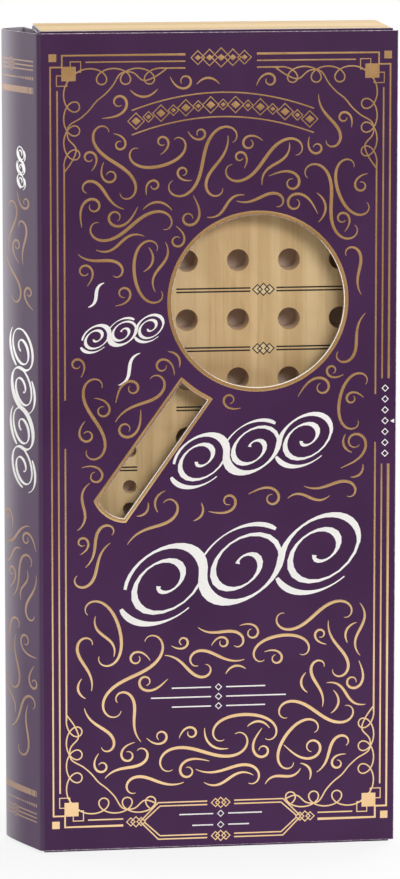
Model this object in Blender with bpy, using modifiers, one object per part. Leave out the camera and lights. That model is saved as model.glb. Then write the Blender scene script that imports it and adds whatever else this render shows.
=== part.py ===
"""A book-shaped card carton that holds a wooden code-breaking board, in metres, +Z up.

The carton stands on its bottom end. X runs to the right, away from the spine, and Y to the back.
Its front cover opens to the left like a book's, on the fold beside a hollow rounded spine. A lens and
a handle, as of a magnifying glass, are cut through the cover and through the carton's front, and the
board shows through them. The board holds ten guess rows, a row for the secret code behind a sliding
shield, and a pocket with the pegs under a lid.
"""

import math

import bmesh
import bpy
from mathutils import Matrix, Vector

# Sizes of the carton's card
CARD = 0.0006
GAP = 0.0003
HEIGHT = 0.315
CARTON_WIDTH = 0.1333
CARTON_DEPTH = 0.038

# Sizes of the front cover, which stands proud of the carton on the right
COVER_OVERHANG = 0.0017
COVER_GAP = 0.0008
COVER_TOP_STEP = 0.0008
COVER_BOTTOM_STEP = 0.001

# Sizes of the windows: places are taken from the cover's left edge and from the top
LENS_RADIUS = 0.0331
LENS_FROM_LEFT = 0.082
LENS_FROM_TOP = 0.103
HANDLE_HALF_WIDTH = 0.00615
HANDLE_START = 0.0421
HANDLE_END = 0.0969
HANDLE_END_RADIUS = 0.0124
HANDLE_ANGLE = math.radians(234.6)
INNER_WINDOW_EXTRA = 0.0003
INNER_WINDOW_SHIFT = 0.0004

# Sizes of the spine
SPINE_BULGE = 0.0128
SPINE_FOLD_RADIUS = 0.0016
SPINE_LEAN = math.radians(28.0)
SPINE_BACK_INSET = 0.0062
SPINE_BACK_STANDOFF = 0.0042
SPINE_BACK_FOLD_RADIUS = 0.0012
SPINE_APEX_SHARE = 0.73
SPINE_NEAR_PULL = 0.006
SPINE_APEX_PULL = 0.0045
SPINE_LAP_FRONT = 0.004
SPINE_LAP_BEND = 0.016

# Sizes of the two tuck ends
END_SIDE_INSET = 0.0003
TUCK_CREASE = 0.0005
TUCK_LENGTH = 0.015
TUCK_LEAN = math.radians(12.0)
TUCK_SIDE_INSET = 0.0015
TUCK_CORNER = 0.006
DUST_LENGTH = 0.03
DUST_FRONT_CLEARANCE = 0.0044
DUST_BACK_CLEARANCE = 0.0004
DUST_TAPER = 0.004
DUST_CORNER = 0.005
SLIT_LENGTH = 0.006
SLIT_WIDTH = 0.0008
SLIT_FROM_LEFT = 0.0165
SLIT_FROM_RIGHT = 0.018

# Sizes of the card insert that holds the board, and of the folded rules behind the board
INSERT_LIP = 0.005
INSERT_RELIEF = 0.0012
INSERT_TOP_STEP = 0.018
LEAF = 0.0005
LEAF_GAP = 0.0004
LEAFLET_WIDTH = 0.098
LEAFLET_HEIGHT = 0.2

# Sizes of the wooden board
BOARD_THICKNESS = 0.026
BOARD_TOP_CLEARANCE = 0.0072
BOARD_CHAMFER = 0.0008
ROWS = 10
LAST_ROW_MARGIN = 0.0199
FIRST_ROW_DROP = 0.08135
CODE_COLUMNS = 4
CODE_PITCH = 0.0196
CODE_RIGHT_MARGIN = 0.0167
CODE_HOLE_RADIUS = 0.00425
CODE_HOLE_DEPTH = 0.012
SCORE_PER_SIDE = 2
SCORE_ACROSS = 0.01555
SCORE_UP = 0.0087
SCORE_LEFT_MARGIN = 0.0167
SCORE_HOLE_RADIUS = 0.0027
SCORE_HOLE_DEPTH = 0.008
SECRET_ROW_RISE = 0.0332

# Sizes of the shield that hides the secret code, and of its two rails
SHIELD_THICKNESS = 0.003
SHIELD_HEIGHT = 0.0248
SHIELD_SIDE_MARGIN = 0.006
SHIELD_TRAVEL = 0.024
SHIELD_GRIP_RADIUS = 0.004
SHIELD_GRIP_DEPTH = 0.0012
RAIL_BASE = 0.003
RAIL_LIP = 0.002
RAIL_LIP_THICKNESS = 0.0012
RAIL_SPARE = 0.0012

# Sizes of the pegs
CODE_PEG_LENGTH = 0.022
CODE_PEG_RADIUS = 0.00395
CODE_PEG_NECK = 0.0006
SCORE_PEG_LENGTH = 0.014
SCORE_PEG_RADIUS = 0.00245
SCORE_PEG_NECK = 0.0004

# Sizes of the peg pocket and its lid
PEG_COLOURS = ("red", "orange", "yellow", "green", "blue", "purple")
PEGS_PER_COLOUR = 4
PEG_LAYERS = 3
SCORE_COLOURS = ("black", "white")
SCORE_LAYERS = 4
SCORE_DEEP = 3
POCKET_DIVIDER = 0.004
POCKET_ABOVE_SHIELD = 0.0042
LID_THICKNESS = 0.003
LID_LEDGE = 0.0024
LID_GRIP_RADIUS = 0.005
LID_GRIP_DEPTH = 0.0012

# Counts of the facets, and how far a cutter runs past the face that it cuts
LENS_FACETS = 72
ARC_STEPS = 12
CORNER_STEPS = 5
CODE_HOLE_FACETS = 20
SCORE_HOLE_FACETS = 12
PEG_FACETS = 12
OVERRUN = 0.001

# Places that follow from the sizes: the whole carton with its cover and spine is centred on the origin
COVER_WIDTH = CARTON_WIDTH + COVER_OVERHANG
X_LEFT = SPINE_BULGE - (SPINE_BULGE + COVER_WIDTH) / 2
X_RIGHT = X_LEFT + CARTON_WIDTH
COVER_FRONT = -(CARD + COVER_GAP + CARTON_DEPTH) / 2
Y_FRONT = COVER_FRONT + CARD + COVER_GAP
Y_BACK = Y_FRONT + CARTON_DEPTH
COVER_LOW = COVER_BOTTOM_STEP
COVER_HIGH = HEIGHT - COVER_TOP_STEP
WALL_LOW = CARD + GAP
WALL_HIGH = HEIGHT - CARD - GAP
LENS_X = X_LEFT + LENS_FROM_LEFT
LENS_Z = HEIGHT - LENS_FROM_TOP
END_FRONT = Y_FRONT + 2 * CARD + GAP + TUCK_CREASE

BOARD_LEFT = X_LEFT + 2 * (CARD + GAP)
BOARD_RIGHT = X_RIGHT - 2 * (CARD + GAP)
BOARD_LOW = 2 * (CARD + GAP)
BOARD_HIGH = HEIGHT - BOARD_TOP_CLEARANCE
WEB_FRONT = Y_BACK - 2 * CARD - GAP
LEAFLET_BACK = WEB_FRONT - GAP
LEAFLET_FRONT = LEAFLET_BACK - 2 * LEAF - LEAF_GAP
BOARD_BACK = LEAFLET_FRONT - GAP
BOARD_FRONT = BOARD_BACK - BOARD_THICKNESS
CODE_LAST_X = BOARD_RIGHT - CODE_RIGHT_MARGIN
CODE_FIRST_X = CODE_LAST_X - (CODE_COLUMNS - 1) * CODE_PITCH
LAST_ROW_Z = BOARD_LOW + LAST_ROW_MARGIN
FIRST_ROW_Z = BOARD_HIGH - FIRST_ROW_DROP
ROW_PITCH = (FIRST_ROW_Z - LAST_ROW_Z) / (ROWS - 1)
SECRET_ROW_Z = FIRST_ROW_Z + SECRET_ROW_RISE

SHIELD_LEFT = CODE_FIRST_X - SHIELD_SIDE_MARGIN
SHIELD_RIGHT = CODE_LAST_X + SHIELD_SIDE_MARGIN
SHIELD_LOW = SECRET_ROW_Z - SHIELD_HEIGHT / 2
SHIELD_BACK = BOARD_FRONT - GAP
SHIELD_FRONT = SHIELD_BACK - SHIELD_THICKNESS
RAIL_LOW = SHIELD_LOW - RAIL_SPARE
RAIL_HIGH = SHIELD_LOW + SHIELD_HEIGHT + SHIELD_TRAVEL + RAIL_SPARE

CODE_PEG_STEP = 2 * CODE_PEG_RADIUS + GAP
SCORE_PEG_STEP = 2 * SCORE_PEG_RADIUS + GAP
PEG_DEEP = len(PEG_COLOURS) * PEGS_PER_COLOUR // (PEGS_PER_COLOUR * PEG_LAYERS)
CODE_POCKET_WIDTH = PEGS_PER_COLOUR * (CODE_PEG_LENGTH + GAP) + GAP
SCORE_POCKET_WIDTH = SCORE_PEG_LENGTH + 2 * GAP
POCKET_HEIGHT = max(PEG_LAYERS * CODE_PEG_STEP, SCORE_LAYERS * SCORE_PEG_STEP) + GAP
POCKET_LEFT = (BOARD_LEFT + BOARD_RIGHT - CODE_POCKET_WIDTH - POCKET_DIVIDER - SCORE_POCKET_WIDTH) / 2
SCORE_POCKET_LEFT = POCKET_LEFT + CODE_POCKET_WIDTH + POCKET_DIVIDER
POCKET_RIGHT = SCORE_POCKET_LEFT + SCORE_POCKET_WIDTH
POCKET_LOW = SHIELD_LOW + SHIELD_HEIGHT + POCKET_ABOVE_SHIELD
POCKET_FRONT = BOARD_FRONT + LID_THICKNESS + GAP
CODE_POCKET_BACK = POCKET_FRONT + PEG_DEEP * CODE_PEG_STEP + GAP
SCORE_POCKET_BACK = POCKET_FRONT + SCORE_DEEP * SCORE_PEG_STEP + GAP


def clear_scene():
    for thing in list(bpy.data.objects):
        bpy.data.objects.remove(thing, do_unlink=True)


def make_collection(name, hidden=False):
    collection = bpy.data.collections.new(name)
    bpy.context.scene.collection.children.link(collection)
    collection.hide_render = hidden
    return collection


def make_finish(name, colour, roughness):
    """A Principled material of one colour and roughness."""
    material = bpy.data.materials.new(name)
    material.use_nodes = True
    shader = material.node_tree.nodes["Principled BSDF"]
    shader.inputs["Base Color"].default_value = (*colour, 1.0)
    shader.inputs["Roughness"].default_value = roughness
    shader.inputs["Metallic"].default_value = 0.0
    return material


def make_object(name, mesh, finish, collection):
    thing = bpy.data.objects.new(name, mesh)
    collection.objects.link(thing)
    if finish is not None:
        mesh.materials.append(finish)
    return thing


def make_cutter(name, mesh, collection):
    cutter = make_object(name, mesh, None, collection)
    cutter.hide_render = True
    cutter.display_type = "WIRE"
    return cutter


def cut(thing, cutter):
    modifier = thing.modifiers.new(cutter.name, "BOOLEAN")
    modifier.operation = "DIFFERENCE"
    modifier.solver = "EXACT"
    modifier.object = cutter


def move_origin(thing, point):
    """Puts the object's origin at a point and leaves its shape where it is."""
    thing.data.transform(Matrix.Translation(-Vector(point)))
    thing.location = point


def box_mesh(name, low, high):
    """A box between two corners, from a unit cube."""
    low, high = Vector(low), Vector(high)
    bm = bmesh.new()
    place = Matrix.Translation((low + high) / 2) @ Matrix.Diagonal((*(high - low), 1.0))
    bmesh.ops.create_cube(bm, size=1.0, matrix=place)
    mesh = bpy.data.meshes.new(name)
    bm.to_mesh(mesh)
    bm.free()
    return mesh


def rods_mesh(name, places, radius, front, back, facets):
    """Round rods along Y, one at each (x, z) place."""
    bm = bmesh.new()
    turn = Matrix.Rotation(math.radians(90.0), 4, "X")
    for x, z in places:
        centre = Matrix.Translation((x, (front + back) / 2, z))
        bmesh.ops.create_cone(
            bm, cap_ends=True, segments=facets, radius1=radius, radius2=radius,
            depth=back - front, matrix=centre @ turn,
        )
    mesh = bpy.data.meshes.new(name)
    bm.to_mesh(mesh)
    bm.free()
    return mesh


def arc(centre, radius, start, end, steps):
    """Points on an arc, from the start angle to the end angle."""
    angles = [start + (end - start) * i / steps for i in range(steps + 1)]
    return [(centre[0] + radius * math.cos(a), centre[1] + radius * math.sin(a)) for a in angles]


def bezier(start, pull_start, pull_end, end, steps):
    """Points on a cubic curve, without its first point."""
    points = []
    for i in range(1, steps + 1):
        t = i / steps
        shares = ((1 - t) ** 3, 3 * t * (1 - t) ** 2, 3 * t * t * (1 - t), t**3)
        controls = (start, pull_start, pull_end, end)
        points.append(tuple(sum(s * c[k] for s, c in zip(shares, controls)) for k in range(2)))
    return points


def rounded(corners):
    """An outline from (x, y, radius) corners, each rounded by its own radius."""
    points = []
    for i, (x, y, radius) in enumerate(corners):
        here = Vector((x, y))
        if not radius:
            points.append((x, y))
            continue
        before = (Vector(corners[i - 1][:2]) - here).normalized()
        after = (Vector(corners[(i + 1) % len(corners)][:2]) - here).normalized()
        half = before.angle(after) / 2
        centre = here + (before + after).normalized() * radius / math.sin(half)
        first = here + before * radius / math.tan(half) - centre
        last = here + after * radius / math.tan(half) - centre
        start = math.atan2(first.y, first.x)
        turn = first.angle_signed(last)
        points += arc(centre, radius, start, start - turn, CORNER_STEPS)
    return points


def flat_piece(name, outlines, thickness, origin, across, up, sink, finish, collection):
    """A sheet with the first outline as its edge and the others as holes.

    An outline's points run along the two directions from the origin, and sink moves the middle of
    the sheet along their normal.
    """
    curve = bpy.data.curves.new(name, "CURVE")
    curve.dimensions = "2D"
    curve.fill_mode = "BOTH"
    curve.extrude = thickness / 2
    for outline in outlines:
        spline = curve.splines.new("POLY")
        spline.points.add(len(outline) - 1)
        spline.use_cyclic_u = True
        for point, (x, y) in zip(spline.points, outline):
            point.co = (x, y, 0.0, 1.0)
    sketch = bpy.data.objects.new(name + "_sketch", curve)
    bpy.context.scene.collection.objects.link(sketch)
    graph = bpy.context.evaluated_depsgraph_get()
    mesh = bpy.data.meshes.new_from_object(sketch.evaluated_get(graph))
    bpy.data.objects.remove(sketch, do_unlink=True)
    mesh.name = name
    bm = bmesh.new()
    bm.from_mesh(mesh)
    bmesh.ops.remove_doubles(bm, verts=bm.verts, dist=thickness / 100)
    bmesh.ops.recalc_face_normals(bm, faces=bm.faces)
    bmesh.ops.translate(bm, verts=bm.verts, vec=(0.0, 0.0, sink))
    bm.to_mesh(mesh)
    bm.free()
    mesh.materials.clear()
    thing = make_object(name, mesh, finish, collection)
    across, up = Vector(across), Vector(up)
    axes = Matrix((across, up, across.cross(up))).transposed().to_4x4()
    thing.matrix_world = Matrix.Translation(origin) @ axes
    return thing


def folded_sheet(name, path, low, high, thickness, finish, collection):
    """An upright sheet along a plan path, with its thickness on the right of the path's direction."""
    bm = bmesh.new()
    feet = [bm.verts.new((x, y, low)) for x, y in path]
    edges = [bm.edges.new(pair) for pair in zip(feet, feet[1:])]
    raised = bmesh.ops.extrude_edge_only(bm, edges=edges)["geom"]
    tops = [part for part in raised if isinstance(part, bmesh.types.BMVert)]
    bmesh.ops.translate(bm, verts=tops, vec=(0.0, 0.0, high - low))
    mesh = bpy.data.meshes.new(name)
    bm.to_mesh(mesh)
    bm.free()
    thing = make_object(name, mesh, finish, collection)
    wall = thing.modifiers.new("card", "SOLIDIFY")
    wall.thickness = thickness
    wall.offset = -1.0
    wall.use_even_offset = True
    return thing


def lens_outline(centre, extra):
    steps = [2 * math.pi * i / LENS_FACETS for i in range(LENS_FACETS)]
    radius = LENS_RADIUS + extra
    return [(centre[0] + radius * math.cos(a), centre[1] + radius * math.sin(a)) for a in steps]


def handle_outline(centre, extra):
    """The handle's window: it starts on an arc round the lens and ends on a rounder one."""
    half = HANDLE_HALF_WIDTH + extra
    start = HANDLE_START - extra
    spread = math.asin(half / start)
    near = arc((0.0, 0.0), start, spread, -spread, ARC_STEPS)
    end_radius = HANDLE_END_RADIUS + extra
    end_spread = math.asin(half / end_radius)
    middle = (HANDLE_END - HANDLE_END_RADIUS * math.cos(end_spread), 0.0)
    far = arc(middle, end_radius, -end_spread, end_spread, ARC_STEPS)
    turn = Matrix.Rotation(HANDLE_ANGLE, 2)
    turned = [turn @ Vector(point) for point in near + far]
    return [(centre[0] + point.x, centre[1] + point.y) for point in turned]


def spine_path():
    """Plan path of the spine's outer face: front fold, near side, apex, back fold and glued lap."""
    apex_x = X_LEFT - SPINE_BULGE
    back_y = Y_BACK - SPINE_BACK_INSET
    apex_y = Y_FRONT + SPINE_APEX_SHARE * (back_y - Y_FRONT)
    fold_centre = (X_LEFT - GAP, COVER_FRONT + SPINE_FOLD_RADIUS)
    down = math.radians(270.0)
    path = arc(fold_centre, SPINE_FOLD_RADIUS, down, math.radians(180.0) + SPINE_LEAN, CORNER_STEPS)
    start = path[-1]
    near_pull = (
        start[0] - SPINE_NEAR_PULL * math.sin(SPINE_LEAN),
        start[1] + SPINE_NEAR_PULL * math.cos(SPINE_LEAN),
    )
    apex = (apex_x, apex_y)
    path += bezier(start, near_pull, (apex_x, apex_y - SPINE_APEX_PULL), apex, ARC_STEPS)
    back_centre = (X_LEFT - SPINE_BACK_STANDOFF, back_y - SPINE_BACK_FOLD_RADIUS)
    back_fold = arc(
        back_centre, SPINE_BACK_FOLD_RADIUS, math.radians(120.0), math.radians(-15.0), CORNER_STEPS
    )
    first = back_fold[0]
    far_pull = (
        first[0] - SPINE_APEX_PULL * math.cos(math.radians(30.0)),
        first[1] - SPINE_APEX_PULL * math.sin(math.radians(30.0)),
    )
    path += bezier(apex, (apex_x, apex_y + SPINE_APEX_PULL), far_pull, first, ARC_STEPS)
    path += back_fold[1:]
    last = back_fold[-1]
    lap_x = X_LEFT - GAP
    lap_end = (lap_x, Y_FRONT + SPINE_LAP_BEND)
    bend = (last[1] - lap_end[1]) / 2
    path += bezier(last, (last[0] + bend / 8, last[1] - bend), (lap_x, lap_end[1] + bend), lap_end, ARC_STEPS)
    path.append((lap_x, Y_FRONT + SPINE_LAP_FRONT))
    return path


def build_cover_and_spine(parts, purple):
    lens = (LENS_FROM_LEFT, LENS_Z)
    edge = [(0.0, COVER_LOW), (COVER_WIDTH, COVER_LOW), (COVER_WIDTH, COVER_HIGH), (0.0, COVER_HIGH)]
    flat_piece(
        "front_cover", [edge, lens_outline(lens, 0.0), handle_outline(lens, 0.0)], CARD,
        (X_LEFT, COVER_FRONT, 0.0), (1.0, 0.0, 0.0), (0.0, 0.0, 1.0), -CARD / 2, purple, parts,
    )
    folded_sheet("spine", spine_path(), COVER_LOW, COVER_HIGH, CARD, purple, parts)


def build_walls(parts, purple, cream):
    lens = (LENS_FROM_LEFT - INNER_WINDOW_SHIFT, LENS_Z)
    edge = [(0.0, 0.0), (CARTON_WIDTH, 0.0), (CARTON_WIDTH, HEIGHT), (0.0, HEIGHT)]
    windows = [lens_outline(lens, INNER_WINDOW_EXTRA), handle_outline(lens, INNER_WINDOW_EXTRA)]
    flat_piece(
        "carton_front", [edge, *windows], CARD,
        (X_LEFT, Y_FRONT, 0.0), (1.0, 0.0, 0.0), (0.0, 0.0, 1.0), -CARD / 2, purple, parts,
    )
    side_front, side_back = Y_FRONT + CARD + GAP, Y_BACK - CARD - GAP
    for name, outer, inner, finish in (
        ("carton_left_side", X_LEFT, X_LEFT + CARD, purple),
        ("carton_right_side", X_RIGHT - CARD, X_RIGHT, cream),
    ):
        mesh = box_mesh(name, (outer, side_front, WALL_LOW), (inner, side_back, WALL_HIGH))
        make_object(name, mesh, finish, parts)
    mesh = box_mesh(
        "carton_back", (X_LEFT, Y_BACK - CARD, WALL_LOW), (X_RIGHT, Y_BACK, WALL_HIGH)
    )
    make_object("carton_back", mesh, purple, parts)


def build_end(parts, end, cream):
    """A tuck end: its panel, the flap that tucks in behind the front, and two dust flaps.

    The bottom is the top turned upside down, with two locking slits.
    """
    rises = -1.0 if end == "top" else 1.0
    outside = HEIGHT if end == "top" else 0.0
    names = ("top_lid", "top_tuck_flap") if end == "top" else ("bottom_panel", "bottom_tuck_flap")
    left, right = X_LEFT + END_SIDE_INSET, X_RIGHT - END_SIDE_INSET
    width, depth = right - left, Y_BACK - END_FRONT
    edge = [(0.0, 0.0), (width, 0.0), (width, depth)]
    if end == "bottom":
        for start in (width - SLIT_FROM_RIGHT, SLIT_FROM_LEFT + SLIT_LENGTH):
            edge += [
                (start, depth), (start, depth - SLIT_WIDTH),
                (start - SLIT_LENGTH, depth - SLIT_WIDTH), (start - SLIT_LENGTH, depth),
            ]
    edge.append((0.0, depth))
    sink = -rises * CARD / 2
    flat_piece(
        names[0], [edge], CARD, (left, Y_BACK, outside), (1.0, 0.0, 0.0), (0.0, -1.0, 0.0), sink,
        cream, parts,
    )

    flap_left = left + TUCK_SIDE_INSET
    flap_width = right - TUCK_SIDE_INSET - flap_left
    flap_edge = [
        (0.0, 0.0, 0.0), (flap_width, 0.0, 0.0),
        (flap_width, TUCK_LENGTH, TUCK_CORNER), (0.0, TUCK_LENGTH, TUCK_CORNER),
    ]
    crease = (flap_left, Y_FRONT + CARD + GAP, outside + rises * CARD * math.sin(TUCK_LEAN))
    lean = (0.0, math.sin(TUCK_LEAN), rises * math.cos(TUCK_LEAN))
    flat_piece(
        names[1], [rounded(flap_edge)], CARD, crease, (1.0, 0.0, 0.0), lean, sink, cream, parts
    )

    flap_front = Y_FRONT + CARD + DUST_FRONT_CLEARANCE
    flap_depth = Y_BACK - CARD - GAP - DUST_BACK_CLEARANCE - flap_front
    dust_edge = [
        (0.0, 0.0, 0.0), (DUST_LENGTH, DUST_TAPER, DUST_CORNER),
        (DUST_LENGTH, flap_depth - DUST_TAPER, DUST_CORNER), (0.0, flap_depth, 0.0),
    ]
    level = outside + rises * (CARD + GAP)
    for side, x, across in (
        ("left", X_LEFT + CARD + GAP, 1.0), ("right", X_RIGHT - CARD - GAP, -1.0),
    ):
        flat_piece(
            f"{end}_dust_flap_{side}", [rounded(dust_edge)], CARD, (x, flap_front, level),
            (across, 0.0, 0.0), (0.0, 1.0, 0.0), across * rises * CARD / 2, cream, parts,
        )


def build_insert(parts, cutters, card, paper):
    """The folded card channel that centres the board, and the folded rules behind the board."""
    left, right = X_LEFT + CARD + GAP, X_RIGHT - CARD - GAP
    front, back = Y_FRONT + CARD + GAP, Y_BACK - CARD - GAP
    lip_end = BOARD_FRONT - GAP
    path = [
        (left + INSERT_LIP, lip_end), (left + INSERT_LIP, front), (left, front), (left, back),
        (right, back), (right, front), (right - INSERT_LIP, front), (right - INSERT_LIP, lip_end),
    ]
    insert = folded_sheet("card_insert", path, BOARD_LOW, HEIGHT - INSERT_TOP_STEP, CARD, card, parts)
    relief = box_mesh(
        "insert_relief", (left - OVERRUN, front - OVERRUN, BOARD_LOW - OVERRUN),
        (right + OVERRUN, lip_end + GAP / 2, TUCK_LENGTH + INSERT_RELIEF),
    )
    cut(insert, make_cutter("insert_relief", relief, cutters))

    middle = (BOARD_LEFT + BOARD_RIGHT) / 2
    turn = LEAF + LEAF_GAP / 2
    fold_x = middle - LEAFLET_WIDTH / 2 + turn
    fold_y = (LEAFLET_FRONT + LEAFLET_BACK) / 2
    path = [(middle + LEAFLET_WIDTH / 2, LEAFLET_FRONT)]
    path += arc((fold_x, fold_y), turn, math.radians(270.0), math.radians(90.0), CORNER_STEPS)
    path.append((middle + LEAFLET_WIDTH / 2, LEAFLET_BACK))
    folded_sheet("rules_leaflet", path, BOARD_LOW, BOARD_LOW + LEAFLET_HEIGHT, LEAF, paper, parts)


def code_hole_places():
    columns = [CODE_FIRST_X + i * CODE_PITCH for i in range(CODE_COLUMNS)]
    rows = [LAST_ROW_Z + i * ROW_PITCH for i in range(ROWS)] + [SECRET_ROW_Z]
    return [(x, z) for z in rows for x in columns]


def score_hole_places():
    """Beside each row a block of score holes, as many across as up, centred on the row's height."""
    columns = [BOARD_LEFT + SCORE_LEFT_MARGIN + i * SCORE_ACROSS for i in range(SCORE_PER_SIDE)]
    steps = [(i - (SCORE_PER_SIDE - 1) / 2) * SCORE_UP for i in range(SCORE_PER_SIDE)]
    rows = [LAST_ROW_Z + i * ROW_PITCH for i in range(ROWS)]
    return [(x, z + up) for z in rows for up in steps for x in columns]


def build_board(parts, cutters, wood):
    mesh = box_mesh(
        "game_board", (BOARD_LEFT, BOARD_FRONT, BOARD_LOW), (BOARD_RIGHT, BOARD_BACK, BOARD_HIGH)
    )
    board = make_object("game_board", mesh, wood, parts)
    edge = board.modifiers.new("edge", "BEVEL")
    edge.width = BOARD_CHAMFER
    edge.segments = 1
    front = BOARD_FRONT - OVERRUN
    holes = (
        ("code_holes", code_hole_places(), CODE_HOLE_RADIUS, CODE_HOLE_DEPTH, CODE_HOLE_FACETS),
        ("score_holes", score_hole_places(), SCORE_HOLE_RADIUS, SCORE_HOLE_DEPTH, SCORE_HOLE_FACETS),
    )
    for name, places, radius, depth, facets in holes:
        mesh = rods_mesh(name, places, radius, front, BOARD_FRONT + depth, facets)
        cut(board, make_cutter(name, mesh, cutters))
    pocket_high = POCKET_LOW + POCKET_HEIGHT
    hollows = (
        ("lid_seat", POCKET_LEFT - LID_LEDGE, POCKET_LOW - LID_LEDGE, POCKET_RIGHT + LID_LEDGE,
         pocket_high + LID_LEDGE, POCKET_FRONT),
        ("code_pocket", POCKET_LEFT, POCKET_LOW, POCKET_LEFT + CODE_POCKET_WIDTH,
         pocket_high, CODE_POCKET_BACK),
        ("score_pocket", SCORE_POCKET_LEFT, POCKET_LOW, POCKET_RIGHT, pocket_high, SCORE_POCKET_BACK),
    )
    for name, low_x, low_z, high_x, high_z, back in hollows:
        mesh = box_mesh(name, (low_x, front, low_z), (high_x, back, high_z))
        cut(board, make_cutter(name, mesh, cutters))


def grip_cutter(name, x, z, radius, surface, depth, cutters):
    """A shallow round finger dish in a front face."""
    mesh = rods_mesh(name, [(x, z)], radius, surface - OVERRUN, surface + depth, 2 * PEG_FACETS)
    return make_cutter(name, mesh, cutters)


def build_shield(parts, cutters, wood):
    """The sliding shield over the secret code, and the two grooved rails that carry it."""
    mesh = box_mesh(
        "code_shield", (SHIELD_LEFT, SHIELD_FRONT, SHIELD_LOW),
        (SHIELD_RIGHT, SHIELD_BACK, SHIELD_LOW + SHIELD_HEIGHT),
    )
    shield = make_object("code_shield", mesh, wood, parts)
    middle = (SHIELD_LEFT + SHIELD_RIGHT) / 2
    move_origin(shield, (middle, (SHIELD_FRONT + SHIELD_BACK) / 2, SECRET_ROW_Z))
    cut(shield, grip_cutter(
        "shield_grip", middle, SECRET_ROW_Z, SHIELD_GRIP_RADIUS, SHIELD_FRONT, SHIELD_GRIP_DEPTH, cutters
    ))
    lip_back = SHIELD_FRONT - GAP
    lip_front = lip_back - RAIL_LIP_THICKNESS
    for side, edge, away in (("left", SHIELD_LEFT, -1.0), ("right", SHIELD_RIGHT, 1.0)):
        face = edge + away * GAP
        outline = [
            (face, SHIELD_BACK), (face + away * RAIL_BASE, SHIELD_BACK),
            (face + away * RAIL_BASE, lip_front), (face - away * RAIL_LIP, lip_front),
            (face - away * RAIL_LIP, lip_back), (face, lip_back),
        ]
        flat_piece(
            f"shield_rail_{side}", [outline], RAIL_HIGH - RAIL_LOW, (0.0, 0.0, (RAIL_LOW + RAIL_HIGH) / 2),
            (1.0, 0.0, 0.0), (0.0, 1.0, 0.0), 0.0, wood, parts,
        )


def build_pocket_lid(parts, cutters, wood):
    play = LID_LEDGE - GAP
    low_z, high_z = POCKET_LOW - play, POCKET_LOW + POCKET_HEIGHT + play
    mesh = box_mesh(
        "peg_pocket_lid", (POCKET_LEFT - play, BOARD_FRONT, low_z),
        (POCKET_RIGHT + play, BOARD_FRONT + LID_THICKNESS, high_z),
    )
    lid = make_object("peg_pocket_lid", mesh, wood, parts)
    middle = (POCKET_LEFT + POCKET_RIGHT) / 2
    cut(lid, grip_cutter(
        "lid_grip", middle, (low_z + high_z) / 2, LID_GRIP_RADIUS, BOARD_FRONT, LID_GRIP_DEPTH, cutters
    ))


def peg_profile(length, radius, neck):
    """Half the outline of a turned peg, from the head's top down to its foot, as (radius, height)."""
    dome = radius
    head = [
        (radius * math.sin(a), length - dome + dome * math.cos(a))
        for a in (math.radians(90.0) * i / 4 for i in range(5))
    ]
    collar = length - dome - radius
    shaft = radius - neck
    return head + [(radius, collar), (shaft, collar - neck), (shaft, neck), (shaft - neck, 0.0), (0.0, 0.0)]


def peg_mesh(name, length, radius, neck):
    """A peg along +X, turned from its profile with a screw."""
    bm = bmesh.new()
    profile = [bm.verts.new((x, 0.0, z)) for x, z in peg_profile(length, radius, neck)]
    for pair in zip(profile, profile[1:]):
        bm.edges.new(pair)
    mesh = bpy.data.meshes.new(name)
    bm.to_mesh(mesh)
    bm.free()
    mesh.transform(Matrix.Rotation(math.radians(90.0), 4, "Y"))
    return mesh


def place_peg(name, mesh, place, finish, parts):
    peg = make_object(name, mesh, finish, parts)
    peg.location = place
    turned = peg.modifiers.new("turned", "SCREW")
    turned.axis = "X"
    turned.steps = PEG_FACETS
    turned.render_steps = PEG_FACETS
    turned.use_merge_vertices = True
    turned.merge_threshold = GAP / 100
    turned.use_smooth_shade = True


def build_pegs(parts, code_finishes, score_finishes):
    """The code pegs lie in layers, a colour to a layer, beside the smaller score pegs."""
    for index, colour in enumerate(PEG_COLOURS):
        layer, row = index % PEG_LAYERS, index // PEG_LAYERS
        z = POCKET_LOW + GAP + CODE_PEG_RADIUS + layer * CODE_PEG_STEP
        y = POCKET_FRONT + GAP + CODE_PEG_RADIUS + row * CODE_PEG_STEP
        for i in range(PEGS_PER_COLOUR):
            name = f"code_peg_{colour}_{i + 1}"
            x = POCKET_LEFT + GAP + i * (CODE_PEG_LENGTH + GAP)
            mesh = peg_mesh(name, CODE_PEG_LENGTH, CODE_PEG_RADIUS, CODE_PEG_NECK)
            place_peg(name, mesh, (x, y, z), code_finishes[colour], parts)
    counts = dict.fromkeys(SCORE_COLOURS, 0)
    for layer in range(SCORE_LAYERS):
        colour = SCORE_COLOURS[layer * len(SCORE_COLOURS) // SCORE_LAYERS]
        z = POCKET_LOW + GAP + SCORE_PEG_RADIUS + layer * SCORE_PEG_STEP
        for row in range(SCORE_DEEP):
            counts[colour] += 1
            name = f"score_peg_{colour}_{counts[colour]}"
            y = POCKET_FRONT + GAP + SCORE_PEG_RADIUS + row * SCORE_PEG_STEP
            mesh = peg_mesh(name, SCORE_PEG_LENGTH, SCORE_PEG_RADIUS, SCORE_PEG_NECK)
            place_peg(name, mesh, (SCORE_POCKET_LEFT + GAP, y, z), score_finishes[colour], parts)


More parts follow.
